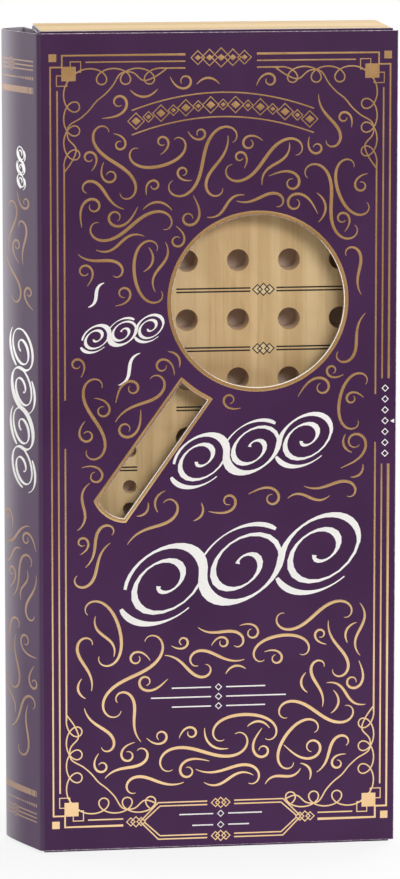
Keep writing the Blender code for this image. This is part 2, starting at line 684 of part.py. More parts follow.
def main():
    clear_scene()
    parts = make_collection("boxed_code_breaking_game")
    cutters = make_collection("cutters", hidden=True)
    purple = make_finish("printed_purple_card", (0.07, 0.02, 0.09), 0.45)
    cream = make_finish("printed_cream_card", (0.82, 0.65, 0.38), 0.6)
    card = make_finish("bare_card", (0.72, 0.66, 0.56), 0.85)
    paper = make_finish("white_paper", (0.85, 0.84, 0.8), 0.8)
    wood = make_finish("pale_wood", (0.6, 0.43, 0.24), 0.6)
    peg_colours = {
        "red": (0.6, 0.03, 0.03), "orange": (0.8, 0.25, 0.02), "yellow": (0.85, 0.6, 0.05),
        "green": (0.04, 0.3, 0.08), "blue": (0.03, 0.1, 0.45), "purple": (0.2, 0.04, 0.35),
        "black": (0.02, 0.02, 0.02), "white": (0.8, 0.8, 0.78),
    }
    peg_finishes = {
        colour: make_finish(f"painted_{colour}", value, 0.4) for colour, value in peg_colours.items()
    }
    build_cover_and_spine(parts, purple)
    build_walls(parts, purple, cream)
    build_end(parts, "top", cream)
    build_end(parts, "bottom", cream)
    build_insert(parts, cutters, card, paper)
    build_board(parts, cutters, wood)
    build_shield(parts, cutters, wood)
    build_pocket_lid(parts, cutters, wood)
    build_pegs(parts, peg_finishes, peg_finishes)


main()
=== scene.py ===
# %% [markdown]
# # A boxed code-breaking game, dressed
# The real object is a wooden peg board in a card carton that is folded and printed like an old book.
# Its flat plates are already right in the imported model, so they stay, and this notebook gives them
# their finishes. What a plate can't have, such as gold foil, rounded folds and smooth turned edges,
# is modelled here and laid on top. Working around fixed plates keeps every window and hinge in place.

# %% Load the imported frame
import random
from functools import partial
from math import asin, atan2, cos, pi, radians, sin, sqrt

import bpy
import numpy as np
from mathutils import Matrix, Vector


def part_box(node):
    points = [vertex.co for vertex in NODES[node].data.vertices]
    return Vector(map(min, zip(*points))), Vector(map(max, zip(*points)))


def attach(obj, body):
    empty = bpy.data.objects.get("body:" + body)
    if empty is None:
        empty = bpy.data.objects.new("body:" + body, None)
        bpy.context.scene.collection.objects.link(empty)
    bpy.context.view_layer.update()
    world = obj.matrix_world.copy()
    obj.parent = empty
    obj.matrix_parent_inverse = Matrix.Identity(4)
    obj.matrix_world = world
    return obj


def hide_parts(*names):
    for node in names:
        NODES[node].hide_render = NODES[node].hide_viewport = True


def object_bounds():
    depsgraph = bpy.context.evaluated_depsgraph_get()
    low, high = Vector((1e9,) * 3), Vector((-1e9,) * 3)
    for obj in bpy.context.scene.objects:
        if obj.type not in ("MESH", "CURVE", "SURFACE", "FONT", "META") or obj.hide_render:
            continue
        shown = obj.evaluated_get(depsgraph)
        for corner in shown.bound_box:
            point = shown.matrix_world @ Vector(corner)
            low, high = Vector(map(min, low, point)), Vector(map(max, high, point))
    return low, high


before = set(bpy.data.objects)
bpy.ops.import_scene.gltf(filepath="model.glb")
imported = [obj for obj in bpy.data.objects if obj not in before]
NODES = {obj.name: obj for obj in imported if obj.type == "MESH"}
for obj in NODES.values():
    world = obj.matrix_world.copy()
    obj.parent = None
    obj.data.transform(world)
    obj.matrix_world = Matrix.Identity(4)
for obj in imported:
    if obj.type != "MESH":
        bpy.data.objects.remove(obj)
CAD_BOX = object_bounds()
MM = 0.001
print(f"{len(NODES)} nodes, box {[round(v, 4) for corner in CAD_BOX for v in corner]}")

# %% [markdown]
# ## Where things are
# Every place on the front is measured in millimetres from the cover's left edge and from its top or
# bottom, as a printer would measure the sheet. The frame gives the cover's corners, so the print
# follows the card.

# %% Name the places on the cover
COVER_LOW, COVER_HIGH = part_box("front_cover")
COVER_WIDTH = (COVER_HIGH.x - COVER_LOW.x) / MM
COVER_HEIGHT = (COVER_HIGH.z - COVER_LOW.z) / MM
LENS_FROM_LEFT, LENS_FROM_TOP, LENS_RADIUS = 82.0, 102.2, 33.1
LENS = (LENS_FROM_LEFT, COVER_HEIGHT - LENS_FROM_TOP)
HANDLE_START, HANDLE_END, HANDLE_END_RADIUS = 42.1, 96.9, 12.4
HANDLE_HALF_WIDTH = 6.15
HANDLE_ANGLE = radians(234.6)
RIM_WIDTH = 1.6
print(f"cover {COVER_WIDTH:.1f} x {COVER_HEIGHT:.1f} mm, lens centre {LENS}")


# %% [markdown]
# ## Small tools
# Operators act on whatever is selected, so each step first selects one piece alone. The node helpers
# make the shader code read like a recipe: a kind of node, its settings, and what goes into it.

# %% Select, settle, soften, shade and copy
def only(piece):
    bpy.ops.object.select_all(action="DESELECT")
    piece.select_set(True)
    bpy.context.view_layer.objects.active = piece


def settle(piece):
    """Moves the object's place, turn and scale into its mesh."""
    only(piece)
    bpy.ops.object.transform_apply(location=True, rotation=True, scale=True)


def soften(piece, width, segments):
    """Bevels the sharp edges of a piece that is selected alone."""
    bevel = piece.modifiers.new("soften", "BEVEL")
    bevel.width = width
    bevel.segments = segments
    bevel.limit_method = "ANGLE"
    bevel.angle_limit = radians(40)
    bpy.ops.object.modifier_apply(modifier="soften")


def shade_smooth(degrees):
    """Shades the selected piece smooth, apart from edges that are sharper than the angle."""
    bpy.ops.object.shade_smooth_by_angle(angle=radians(degrees))


def dress(piece, body, slot, material, *replaced):
    """Gives a finished piece its material and body, and hides the nodes that it stands for; slot is not used.
    """
    piece.data.materials.clear()
    piece.data.materials.append(material)
    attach(piece, body)
    if replaced:
        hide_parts(*replaced)


def new_piece(name, data):
    piece = bpy.data.objects.new(name, data)
    bpy.context.scene.collection.objects.link(piece)
    only(piece)
    return piece


def merged_copy(node, name):
    """A copy of a node with its loose triangles joined, so that it can be bevelled and shaded smooth."""
    piece = new_piece(name, NODES[node].data.copy())
    bpy.ops.object.mode_set(mode="EDIT")
    bpy.ops.mesh.select_all(action="SELECT")
    bpy.ops.mesh.remove_doubles(threshold=0.01 * MM)
    bpy.ops.mesh.dissolve_limited(angle_limit=radians(0.2))
    bpy.ops.object.mode_set(mode="OBJECT")
    return piece


# %% Make and join shader nodes
def put(value, socket):
    """Joins another node's output to a socket, or sets a plain value or a colour (red, green, blue)."""
    if isinstance(value, bpy.types.NodeSocket):
        socket.id_data.links.new(value, socket)
    else:
        socket.default_value = (*value, 1.0) if socket.type == "RGBA" else value


def fill(node, **values):
    """Puts values into a node's inputs, whose names are written with _ for each space."""
    for name, value in values.items():
        put(value, node.inputs[name.replace("_", " ")])


def add(tree, kind, inputs=None, **settings):
    """A shader node with its settings and inputs, each input a value or another node's output."""
    made = tree.nodes.new("ShaderNode" + kind)
    for name, value in settings.items():
        setattr(made, name, value)
    for name, value in (inputs or {}).items():
        put(value, made.inputs[name])
    return made


def new_finish(name, **values):
    """A new material, its node tree, and its Principled shader with uniform values set on it."""
    material = bpy.data.materials.new(name)
    material.use_nodes = True
    shader = material.node_tree.nodes["Principled BSDF"]
    fill(shader, **values)
    print(f"finish: {name}")
    return material, material.node_tree, shader


def new_group(name, inputs, outputs):
    """A node group whose inputs are numbers or vectors, and whose outputs are numbers or a Normal."""
    group = bpy.data.node_groups.new(name, "ShaderNodeTree")
    for socket, value in inputs.items():
        kind = "NodeSocketVector" if isinstance(value, tuple) else "NodeSocketFloat"
        group.interface.new_socket(socket, in_out="INPUT", socket_type=kind).default_value = value
    for socket in outputs:
        kind = "NodeSocketVector" if socket == "Normal" else "NodeSocketFloat"
        group.interface.new_socket(socket, in_out="OUTPUT", socket_type=kind)
    print(f"shared effect: {name}")
    return group, group.nodes.new("NodeGroupInput").outputs, group.nodes.new("NodeGroupOutput").inputs


def use_group(tree, group, **values):
    made = add(tree, "Group", node_tree=group)
    fill(made, **values)
    return made.outputs


# %% Reckon with what nodes put out
def calc(operation, *values, kind="Math", output=0):
    """The result of a Math node, made in the tree of the first value that comes from a node."""
    tree = next(value for value in values if isinstance(value, bpy.types.NodeSocket)).id_data
    return add(tree, kind, dict(enumerate(values)), operation=operation).outputs[output]


calc_vector = partial(calc, kind="VectorMath")
plus, minus, times, divided = (partial(calc, name) for name in ("ADD", "SUBTRACT", "MULTIPLY", "DIVIDE"))
larger, smaller = partial(calc, "MAXIMUM"), partial(calc, "MINIMUM")
above, below = partial(calc, "GREATER_THAN"), partial(calc, "LESS_THAN")


def blend(factor, first, second):
    return add(factor.id_data, "Mix", {0: factor, 6: first, 7: second}, data_type="RGBA").outputs[2]


def ramp(value, low, high, start=0.0, end=1.0):
    """Maps a value smoothly from the range low to high onto the range start to end."""
    limits = {"Value": value, "From Min": low, "From Max": high, "To Min": start, "To Max": end}
    return add(value.id_data, "MapRange", limits, interpolation_type="SMOOTHSTEP").outputs[0]


def object_place(tree):
    return add(tree, "TexCoord").outputs["Object"]


def split(vector):
    return add(vector.id_data, "SeparateXYZ", {0: vector}).outputs


def noise(place, scale, detail=2.0, roughness=0.5, stretch=None):
    """A cloudy value from 0 to 1, with the place first multiplied along each axis by stretch."""
    tree = place.id_data
    if stretch:
        place = add(tree, "Mapping", {"Vector": place, "Scale": stretch}).outputs[0]
    values = {"Vector": place, "Scale": scale, "Detail": detail, "Roughness": roughness}
    return add(tree, "TexNoise", values).outputs["Fac"]


def bump(height, strength, depth):
    """The normals of a surface that rises by the depth, in mm, where the height is one."""
    values = {"Strength": strength, "Distance": depth * MM, "Height": height}
    return add(height.id_data, "Bump", values).outputs["Normal"]


# %% [markdown]
# ## Effects that several finishes share
# Card shows three things wherever it is used: a printed side, a raw cut edge, and a faint fibre. The
# first two follow from the way a face points, so one group reads the object's own normal. The fibre
# is three noises: the felt of the sheet as a bump, slow clouds of tone, and fine speckles.

# %% Group: which side of a sheet a point is on
SHEET_SIDES, given, result = new_group("sheet sides", {"Outward": (0.0, -1.0, 0.0)}, ("Printed", "Back"))
normal = add(SHEET_SIDES, "TexCoord").outputs["Normal"]
facing = calc_vector("DOT_PRODUCT", normal, given["Outward"], output="Value")
FACES_THAT_WAY = 0.6
put(above(facing, FACES_THAT_WAY), result["Printed"])
put(below(facing, -FACES_THAT_WAY), result["Back"])

# %% Group: the fibre of card and paper
CARD_FIBRE, given, result = new_group("card fibre", {"Strength": 0.3}, ("Tone", "Speckle", "Normal"))
place = object_place(CARD_FIBRE)
put(ramp(noise(place, 28.0, 3.0), 0.3, 0.7), result["Tone"])
put(ramp(noise(place, 1500.0), 0.42, 0.62), result["Speckle"])
put(bump(noise(place, 700.0, 4.0, 0.65), given["Strength"], 0.02), result["Normal"])

# %% Group: how near a point is to the outline of a flat panel
PANEL_RUB, given, result = new_group(
    "panel rub", {"Centre": (0.0, 0.0, 0.0), "Half size": (1.0, 1.0, 1.0), "Width": MM}, ("Rub",)
)
place = object_place(PANEL_RUB)
reach = calc_vector("ABSOLUTE", calc_vector("SUBTRACT", place, given["Centre"]))
inside = split(calc_vector("SUBTRACT", given["Half size"], reach))
nearest = smaller(smaller(inside[0], inside[1]), inside[2])
worn_width = times(given["Width"], ramp(noise(place, 160.0, 5.0, 0.7), 0.45, 0.75, 0.15, 1.6))
put(ramp(divided(nearest, worn_width), 0.0, 1.0, 1.0, 0.0), result["Rub"])

# %% [markdown]
# ## Printed card
# The cover is a sheet of card with a deep purple print, satin rather than glossy, a little uneven in
# the ink, and rubbed pale along its edges. Its back and its cut edges show more of the same sheet.
# One function makes the print for any panel, told which way the panel's printed side faces.

# %% Colours of the print, the raw card and the page edges
PURPLE_DEEP = (0.036, 0.0010, 0.048)
PURPLE_SOFT = (0.046, 0.0032, 0.060)
RUBBED_PURPLE = (0.24, 0.17, 0.28)
RAW_EDGE = (0.72, 0.66, 0.74)
RAW_EDGE_DARK = (0.42, 0.35, 0.45)
CARD_GREY = (0.60, 0.57, 0.52)
CARD_PALE = (0.72, 0.69, 0.64)
OUTWARD = {"front": (0, -1, 0), "back": (0, 1, 0), "left": (-1, 0, 0), "right": (1, 0, 0),
           "top": (0, 0, 1), "bottom": (0, 0, -1)}


# %% Function: panel_rub_of, the rubbed outline of one panel
def panel_rub_of(tree, node, width, folded_left=0.0):
    """The rub mask of a node, whose thin axis is left out of the measure, as is a folded left edge."""
    low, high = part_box(node)
    low.x -= folded_left * MM
    half = [(b - a) / 2 for a, b in zip(low, high)]
    half[half.index(min(half))] = 1.0
    return use_group(tree, PANEL_RUB, Centre=(low + high) / 2, Half_size=half, Width=width * MM)["Rub"]


# %% Function: purple_print
def purple_print(node, side, both_sides=False, folded_left=0.0):
    """Purple print on the panel's outward side, and on its back too where both sides are printed."""
    material, tree, shader = new_finish(f"{node} print", Specular_IOR_Level=0.40)
    sides = use_group(tree, SHEET_SIDES, Outward=OUTWARD[side])
    fibre = use_group(tree, CARD_FIBRE, Strength=0.25)
    ink = blend(fibre["Tone"], PURPLE_DEEP, PURPLE_SOFT)
    ink = blend(times(panel_rub_of(tree, node, 0.5, folded_left), 0.5), ink, RUBBED_PURPLE)
    raw = blend(fibre["Speckle"], RAW_EDGE_DARK, RAW_EDGE)
    surface = blend(sides["Printed"], raw, ink)
    back = ink if both_sides else blend(fibre["Speckle"], CARD_GREY, CARD_PALE)
    surface = blend(sides["Back"], surface, back)
    printed = larger(sides["Printed"], sides["Back"]) if both_sides else sides["Printed"]
    rough = plus(minus(0.85, times(printed, 0.42)), times(fibre["Tone"], 0.06))
    fill(shader, Base_Color=surface, Roughness=rough, Normal=fibre["Normal"])
    return material


# %% [markdown]
# ## Page edges
# The lid, the right side and the bottom are printed to look like the block of pages in a book: cream,
# with fine lines that run along the panel, a little browner here and there. The lines are one noise
# that is squeezed across the sheets, so they are long, uneven and never repeat.

# %% Function: page_edges
CREAM_LIGHT = (0.84, 0.60, 0.30)
CREAM_DEEP = (0.66, 0.44, 0.19)
PAGE_SHADOW = (0.46, 0.28, 0.12)


def page_edges(node, side):
    """Cream page-edge print, whose lines run along the panel and are stacked along Y."""
    material, tree, shader = new_finish(f"{node} pages", Roughness=0.6, Specular_IOR_Level=0.35)
    sides = use_group(tree, SHEET_SIDES, Outward=OUTWARD[side])
    fibre = use_group(tree, CARD_FIBRE, Strength=0.3)
    place = object_place(tree)
    lines = noise(place, 1.6, 3.0, 0.6, stretch=(2.0, 900.0, 2.0))
    bands = noise(place, 1.0, stretch=(4.0, 160.0, 4.0))
    paper = blend(ramp(bands, 0.35, 0.68), CREAM_LIGHT, CREAM_DEEP)
    paper = blend(ramp(lines, 0.56, 0.70, 0.0, 0.55), paper, PAGE_SHADOW)
    paper = blend(times(panel_rub_of(tree, node, 0.6), 0.6), paper, CARD_PALE)
    board = blend(fibre["Speckle"], CARD_GREY, CARD_PALE)
    fill(shader, Base_Color=blend(sides["Printed"], board, paper), Normal=fibre["Normal"])
    return material


# %% Function: plain_card, for the insert, the flaps' backs and the folded rules
def plain_card(name, light, dark, grain):
    material, tree, shader = new_finish(name, Roughness=0.88, Specular_IOR_Level=0.25)
    fibre = use_group(tree, CARD_FIBRE, Strength=grain)
    mixed = blend(fibre["Speckle"], dark, light)
    mixed = blend(times(fibre["Tone"], 0.35), mixed, dark)
    fill(shader, Base_Color=mixed, Normal=fibre["Normal"])
    return material


# %% [markdown]
# ## Wood
# The board is pale softwood, glued up from upright strips. Each strip has its own tone, its grain
# runs up and down in long streaks, and a few streaks are darker. The same recipe serves the shield,
# its rails and the pocket's lid, each shifted so that no two pieces show the same grain.

# %% Group: wood grain
WOOD_GRAIN, given, result = new_group(
    "wood grain", {"Shift": (0.0, 0.0, 0.0), "Strip width": 0.03}, ("Strip", "Streak", "Line", "Normal")
)
moved = calc_vector("ADD", object_place(WOOD_GRAIN), given["Shift"])
number = calc("FLOOR", divided(split(moved)[0], given["Strip width"]))
tone = add(WOOD_GRAIN, "TexWhiteNoise", {"W": number}, noise_dimensions="1D").outputs["Value"]
jump = add(WOOD_GRAIN, "CombineXYZ", {"Y": times(number, 0.37), "Z": tone}).outputs[0]
along = calc_vector("ADD", moved, jump)
streaks = noise(along, 1.0, 5.0, 0.62, stretch=(130.0, 95.0, 2.6))
pores = noise(along, 1.0, 3.0, 0.7, stretch=(900.0, 900.0, 26.0))
put(tone, result["Strip"])
put(ramp(streaks, 0.38, 0.64), result["Streak"])
put(ramp(pores, 0.55, 0.75), result["Line"])
put(bump(pores, 0.35, 0.06), result["Normal"])

# %% Function: pale_wood
WOOD_LIGHT = (0.650, 0.475, 0.250)
WOOD_MID = (0.525, 0.352, 0.166)
WOOD_RED = (0.521, 0.315, 0.151)
WOOD_PORE = (0.269, 0.160, 0.071)
PAINTED_HOLE_SHADE = (0.520, 0.400, 0.320)
BOARD_STRIP = 0.031


def pale_wood(name, shift, strip_width=BOARD_STRIP, drilled_node=None):
    """Pale softwood, whose holes are painted darker with depth below the face, a painted shade, where a node
    is named.
    """
    material, tree, shader = new_finish(name, Roughness=0.62, Specular_IOR_Level=0.35)
    grain = use_group(tree, WOOD_GRAIN, Shift=shift, Strip_width=strip_width)
    wood = blend(grain["Streak"], WOOD_LIGHT, WOOD_MID)
    wood = blend(times(grain["Strip"], 0.55), wood, WOOD_RED)
    wood = blend(times(grain["Line"], 0.42), wood, WOOD_PORE)
    if drilled_node:
        # Painted shade: the walls and floors of the holes darken with depth.
        deep = minus(split(object_place(tree))[1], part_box(drilled_node)[0].y)
        back = use_group(tree, SHEET_SIDES, Outward=OUTWARD["front"])["Back"]
        outer = larger(panel_rub_of(tree, drilled_node, 2.0), back)
        hole_shade = times(ramp(deep, 1.0 * MM, 5.0 * MM, 0.0, 0.9), minus(1.0, outer))
        wood = blend(hole_shade, wood, PAINTED_HOLE_SHADE)
    fill(shader, Base_Color=wood, Normal=grain["Normal"])
    return material


# %% [markdown]
# ## Gold foil, white print and black lines
# The gold on the cover is hot foil: metal, thin, with a soft mirror that turns brown or bright with
# what it faces. The lines on the board are a burnt-looking black ink that has sunk into the grain.

# %% Make the foil, the inks and the raw edges
def foil_finish(name, light, dark, metallic, smoothest=0.22):
    material, tree, shader = new_finish(name, Metallic=metallic)
    place = object_place(tree)
    cloud, pits = noise(place, 60.0, 4.0, 0.6), noise(place, 1800.0)
    gold = blend(ramp(cloud, 0.3, 0.7), light, dark)
    gold = blend(ramp(pits, 0.66, 0.80, 0.0, 0.12), gold, PURPLE_SOFT)
    rough = ramp(cloud, 0.3, 0.7, smoothest, smoothest + 0.09)
    fill(shader, Base_Color=gold, Roughness=rough, Normal=bump(pits, 0.15, 0.01))
    return material


def black_ink():
    material, tree, shader = new_finish("black line ink", Roughness=0.7, Specular_IOR_Level=0.3)
    grain = use_group(tree, WOOD_GRAIN, Strip_width=BOARD_STRIP)
    ink = blend(times(grain["Line"], 0.5), (0.018, 0.013, 0.010), WOOD_PORE)
    fill(shader, Base_Color=ink, Normal=grain["Normal"])
    return material


GOLD = foil_finish("gold foil", (0.98, 0.69, 0.38), (0.94, 0.63, 0.33), 0.90)
# Shaded gold: a darker, duller copy of the foil for the spine, a painted shade.
SHADED_GOLD = foil_finish("shaded gold foil", (0.44, 0.28, 0.19), (0.37, 0.23, 0.15), 0.2, 0.6)
WHITE = foil_finish("white print", (0.88, 0.86, 0.83), (0.82, 0.80, 0.77), 0.0)
INK = black_ink()
CREAM_INK = plain_card("cream ink", (0.68, 0.53, 0.32), (0.62, 0.47, 0.27), 0.2)
RAW = plain_card("raw cut edge", (0.98, 0.92, 0.80), (0.94, 0.86, 0.71), 0.4)
RAW_LILAC = plain_card("raw outer edge", (0.66, 0.58, 0.62), (0.30, 0.23, 0.31), 0.4)

# %% [markdown]
# ## Strokes
# Everything that is stamped or printed as a line, straight or curled, is a stroke: points on the sheet
# with a half width at each. A curve object with a round bevel swells and thins by its points' radius.
# Made a mesh and pressed nearly flat, it leaves a thin, slightly domed ribbon, as a brush or foil
# would. A stroke that ends on its first point is closed. One piece holds many strokes, because they
# are one stamping.

# %% Function: stamp, which turns strokes into one thin piece
FOIL_RISE, RIM_RISE, INK_FILL_RISE, ROUND = 0.07, 0.16, 0.004, 1.0


def stamp(name, strokes, material, origin=COVER_LOW, body="cover", slot="printed_purple_card",
          rise=FOIL_RISE, facing=0.0):
    """Strokes of (u, v, half width) in mm, v along +Z and u along +X, or turned to another side."""
    curve = bpy.data.curves.new(name, "CURVE")
    curve.dimensions = "3D"
    curve.bevel_depth = MM
    curve.bevel_resolution = 1
    curve.use_fill_caps = True
    for stroke in strokes:
        closed = stroke[0] == stroke[-1]
        places = stroke[:-1] if closed else stroke
        spline = curve.splines.new("POLY")
        spline.points.add(len(places) - 1)
        spline.use_cyclic_u = closed
        for point, (u, v, half) in zip(spline.points, places):
            point.co = (u * MM, 0.0, v * MM, 1.0)
            point.radius = half
    piece = new_piece(name, curve)
    bpy.ops.object.convert(target="MESH")
    piece.scale.y = rise
    piece.rotation_euler.z = facing
    piece.location = origin
    settle(piece)
    shade_smooth(50)
    dress(piece, body, slot, material)
    print(f"{name}: {len(strokes)} strokes, {len(piece.data.polygons)} faces")
    return piece


# %% Points and strokes to draw with
SQUARE = ((-1, -1), (1, -1), (1, 1), (-1, 1))
DIAMOND = ((-1, 0), (0, -1), (1, 0), (0, 1))


def line(points, half):
    return [(u, v, half) for u, v in points]


def ring(points):
    """The points and the first one again, which closes the stroke."""
    return [*points, points[0]]


def outline(corners, centre, half):
    return ring([(centre[0] + a * half, centre[1] + b * half) for a, b in corners])


def trio(centre, half):
    """Three interlocked diamond outlines, the middle one larger."""
    sides = [outline(DIAMOND, (centre[0] + side * half, centre[1]), 0.8 * half) for side in (-1, 1)]
    return [outline(DIAMOND, centre, half), *sides]


def solid_diamond(centre, half):
    """A stroke that swells from nothing to the half height and back, which fills a diamond."""
    u, v = centre
    return [(u - half, v, 0.01), (u, v, half), (u + half, v, 0.01)]


def arc(centre, radius, start, end, steps):
    turns = np.linspace(start, end, steps + 1)
    return [(centre[0] + radius * cos(turn), centre[1] + radius * sin(turn)) for turn in turns]


def turned(u, v, angle):
    """A place turned about zero."""
    c, s = cos(angle), sin(angle)
    return u * c - v * s, u * s + v * c


# %% [markdown]
# ## The stamped frame
# An old book's cover has a frame of lines, and here it has notched corners with a small square in
# each notch, a larger square inside it and two open squares crossing it. One corner is drawn in
# steps inward from the frame, and turned into the other three by two signs.

# %% Name the frame's sizes
FRAME_LEFT, FRAME_RIGHT = 3.5, COVER_WIDTH - 2.8
FRAME_BOTTOM, FRAME_TOP = 9.0, COVER_HEIGHT - 8.2
FRAME_MIDDLE = (FRAME_LEFT + FRAME_RIGHT) / 2
CORNERS = (
    (FRAME_LEFT, FRAME_BOTTOM, 1, 1), (FRAME_RIGHT, FRAME_BOTTOM, -1, 1),
    (FRAME_RIGHT, FRAME_TOP, -1, -1), (FRAME_LEFT, FRAME_TOP, 1, -1),
)
LINE_STEP, NOTCH = 2.55, 4.4
OUTER_HALF, INNER_HALF, THIRD_HALF = 0.50, 0.30, 0.32
SQUARE_AT, SQUARE_SIZE = 6.9, 5.4
SMALL_SQUARE_AT, SMALL_SQUARE_SIZE = 0.9, 2.9
OPEN_SQUARE_SIZE, OPEN_SQUARE_SHIFT = 3.9, 2.6
INNER_START, THIRD_START = 13.2, 41.8
THIRD_GAP, SIDE_GAP = (156.0, 174.5), (147.5, 180.5)
CHAIN_REACH, CHAIN_STEP = 13.5, 4.4
CHAIN_SIZES = ((3.6, 0.5), (1.5, 0.15))
PLAQUE_REACH = 37.6


def inward(corner, along, across):
    """A point measured inward from one corner of the frame."""
    u, v, right, up = corner
    return (u + right * along, v + up * across)


# %% Draw the frame's lines
frame_strokes = []


def keep(points, half):
    frame_strokes.append(line(points, half))


def side_lines(offset, start, half):
    """One line along each side of the frame, with a gap for the ornament at the top and the bottom."""
    left, right = FRAME_LEFT + offset, FRAME_RIGHT - offset
    third = offset > LINE_STEP
    for u, gap in ((left, THIRD_GAP if third else ()), (right, THIRD_GAP if third else SIDE_GAP)):
        ends = [FRAME_BOTTOM + start, *gap, FRAME_TOP - start]
        for first, last in zip(ends[::2], ends[1::2]):
            keep([(u, first), (u, last)], half)
    for side in (-1, 1):
        end = FRAME_MIDDLE + side * (FRAME_RIGHT - FRAME_LEFT) / 2 - side * start
        high = FRAME_TOP - offset
        keep([(FRAME_MIDDLE + side * CHAIN_REACH, high), (end, high)], half)
        if not third:
            low = FRAME_BOTTOM + offset
            keep([(FRAME_MIDDLE + side * PLAQUE_REACH, low), (end, low)], half)


side_lines(LINE_STEP, INNER_START, INNER_HALF)
side_lines(2 * LINE_STEP, THIRD_START, THIRD_HALF)
for side, edge in ((-1, FRAME_LEFT), (1, FRAME_RIGHT)):
    near = edge - side * NOTCH
    upper = [(FRAME_MIDDLE + side * CHAIN_REACH, FRAME_TOP), (near, FRAME_TOP), (near, FRAME_TOP - NOTCH),
             (edge, FRAME_TOP - NOTCH)]
    lower = [(edge, FRAME_BOTTOM + NOTCH), (near, FRAME_BOTTOM + NOTCH), (near, FRAME_BOTTOM),
             (FRAME_MIDDLE + side * PLAQUE_REACH, FRAME_BOTTOM)]
    if side < 0:
        keep(upper + lower, OUTER_HALF)
    else:
        keep(upper + [(edge, SIDE_GAP[1])], OUTER_HALF)
        keep([(edge, SIDE_GAP[0])] + lower, OUTER_HALF)
for corner in CORNERS:
    for along, across in ((1, -1), (-1, 1)):
        centre = inward(corner, SQUARE_AT + along * OPEN_SQUARE_SHIFT, SQUARE_AT + across * OPEN_SQUARE_SHIFT)
        keep(outline(SQUARE, centre, OPEN_SQUARE_SIZE / 2), INNER_HALF)
for step in range(-2, 3):
    centre = (FRAME_MIDDLE + CHAIN_STEP * step, FRAME_TOP - LINE_STEP / 2)
    open_half, filled_half = (size - less * abs(step) for size, less in CHAIN_SIZES)
    keep(outline(DIAMOND, centre, open_half), INNER_HALF)
    frame_strokes.append(solid_diamond(centre, filled_half))

# %% Draw the plaque at the foot
PLAQUE_HALF_HEIGHT, PLAQUE_SHOULDER, PLAQUE_TIP = 7.2, 24.1, 32.7
PLAQUE_U, PLAQUE_V = FRAME_MIDDLE, FRAME_BOTTOM + LINE_STEP / 2
PLAQUE_LINE_GAP, PLAQUE_TRIO_GAP, PLAQUE_TRIO_HALF = 1.35, 5.2, 2.0
PLAQUE_POINT, PLAQUE_POINT_GAP = PLAQUE_TIP - PLAQUE_TRIO_HALF, 0.4
for inset in (0.0, PLAQUE_LINE_GAP):
    for up in (-1, 1):
        height = PLAQUE_V + up * (PLAQUE_HALF_HEIGHT - inset)
        for side in (-1, 1):
            shoulder = PLAQUE_U + side * (PLAQUE_SHOULDER - inset / 2)
            tip = PLAQUE_U + side * (PLAQUE_POINT - inset)
            first = PLAQUE_U + side * PLAQUE_TRIO_GAP
            end = (tip, PLAQUE_V + up * PLAQUE_POINT_GAP)
            keep([(first, height), (shoulder, height), end], INNER_HALF)
trio_height = PLAQUE_HALF_HEIGHT - PLAQUE_LINE_GAP / 2
for u, v in ((-PLAQUE_TIP, 0.0), (PLAQUE_TIP, 0.0), (0.0, trio_height), (0.0, -trio_height)):
    for points in trio((PLAQUE_U + u, PLAQUE_V + v), PLAQUE_TRIO_HALF):
        keep(points, INNER_HALF)
print(f"frame and plaque: {len(frame_strokes)} strokes")

# %% Draw the looped cords that leave each corner square
CORD_HALF = 0.30
CORD_LOOPS, CORD_PITCH = 3, 9.0
CORD_START, CORD_BASE = 10.3, 8.0
LOOP_ALONG, LOOP_ACROSS = 3.9, 3.0
BRAID = ((5.1, 44.0), (8.2, 39.5), (9.6, 35.0), (6.6, 31.0), (6.9, 26.5), (11.4, 23.5), (14.6, 20.6),
         (17.3, 17.3))


def looped_cord():
    """Points (off, along) of a cord whose loops hang inward, as a trochoid's do."""
    points = []
    for turn in np.linspace(pi / 2, (2 * CORD_LOOPS + 1) * pi, 26 * CORD_LOOPS + 1):
        along = CORD_START + CORD_PITCH * turn / (2 * pi) - LOOP_ALONG * sin(turn)
        points.append((CORD_BASE + LOOP_ACROSS * cos(turn), along))
    return points


def smooth(points, steps=7):
    """A Catmull-Rom curve through the points."""
    padded = np.array([points[0], *points, points[-1]])
    made = []
    for p, q, r, s in zip(padded, padded[1:], padded[2:], padded[3:]):
        for t in np.arange(steps) / steps:
            made.append(0.5 * (2 * q + (r - p) * t + (2 * p - 5 * q + 4 * r - s) * t * t
                               + (3 * q - p - 3 * r + s) * t ** 3))
    return made + [points[-1]]


def outside_plaque(points):
    """The points up to where they reach the plaque's outline."""
    slope = (PLAQUE_POINT - PLAQUE_SHOULDER) / PLAQUE_HALF_HEIGHT
    for index, (u, v) in enumerate(points):
        up = abs(v - PLAQUE_V)
        if up < PLAQUE_HALF_HEIGHT and abs(u - PLAQUE_U) < PLAQUE_POINT - slope * up:
            return points[:index]
    return points


braid = smooth(BRAID + tuple((b, a) for a, b in reversed(BRAID[:-1])))
for corner in CORNERS:
    for cord in (looped_cord(), [(b, a) for a, b in looped_cord()], braid):
        keep(outside_plaque([inward(corner, a, b) for a, b in cord]), CORD_HALF)

# %% Draw the chain over the window, and stamp the whole frame
ARCH_MIDDLE, ARCH_HALF_WIDTH, ARCH_HIGH, ARCH_FALL = 68.6, 34.5, 286.0, 6.5
ARCH_LINE_OFFSET, ARCH_STEP = 4.6, 4.7
ARCH_SIZES = ((2.0, 1.0), (3.1, 1.75))


def arch_height(u):
    return ARCH_HIGH - ARCH_FALL * ((u - ARCH_MIDDLE) / ARCH_HALF_WIDTH) ** 2


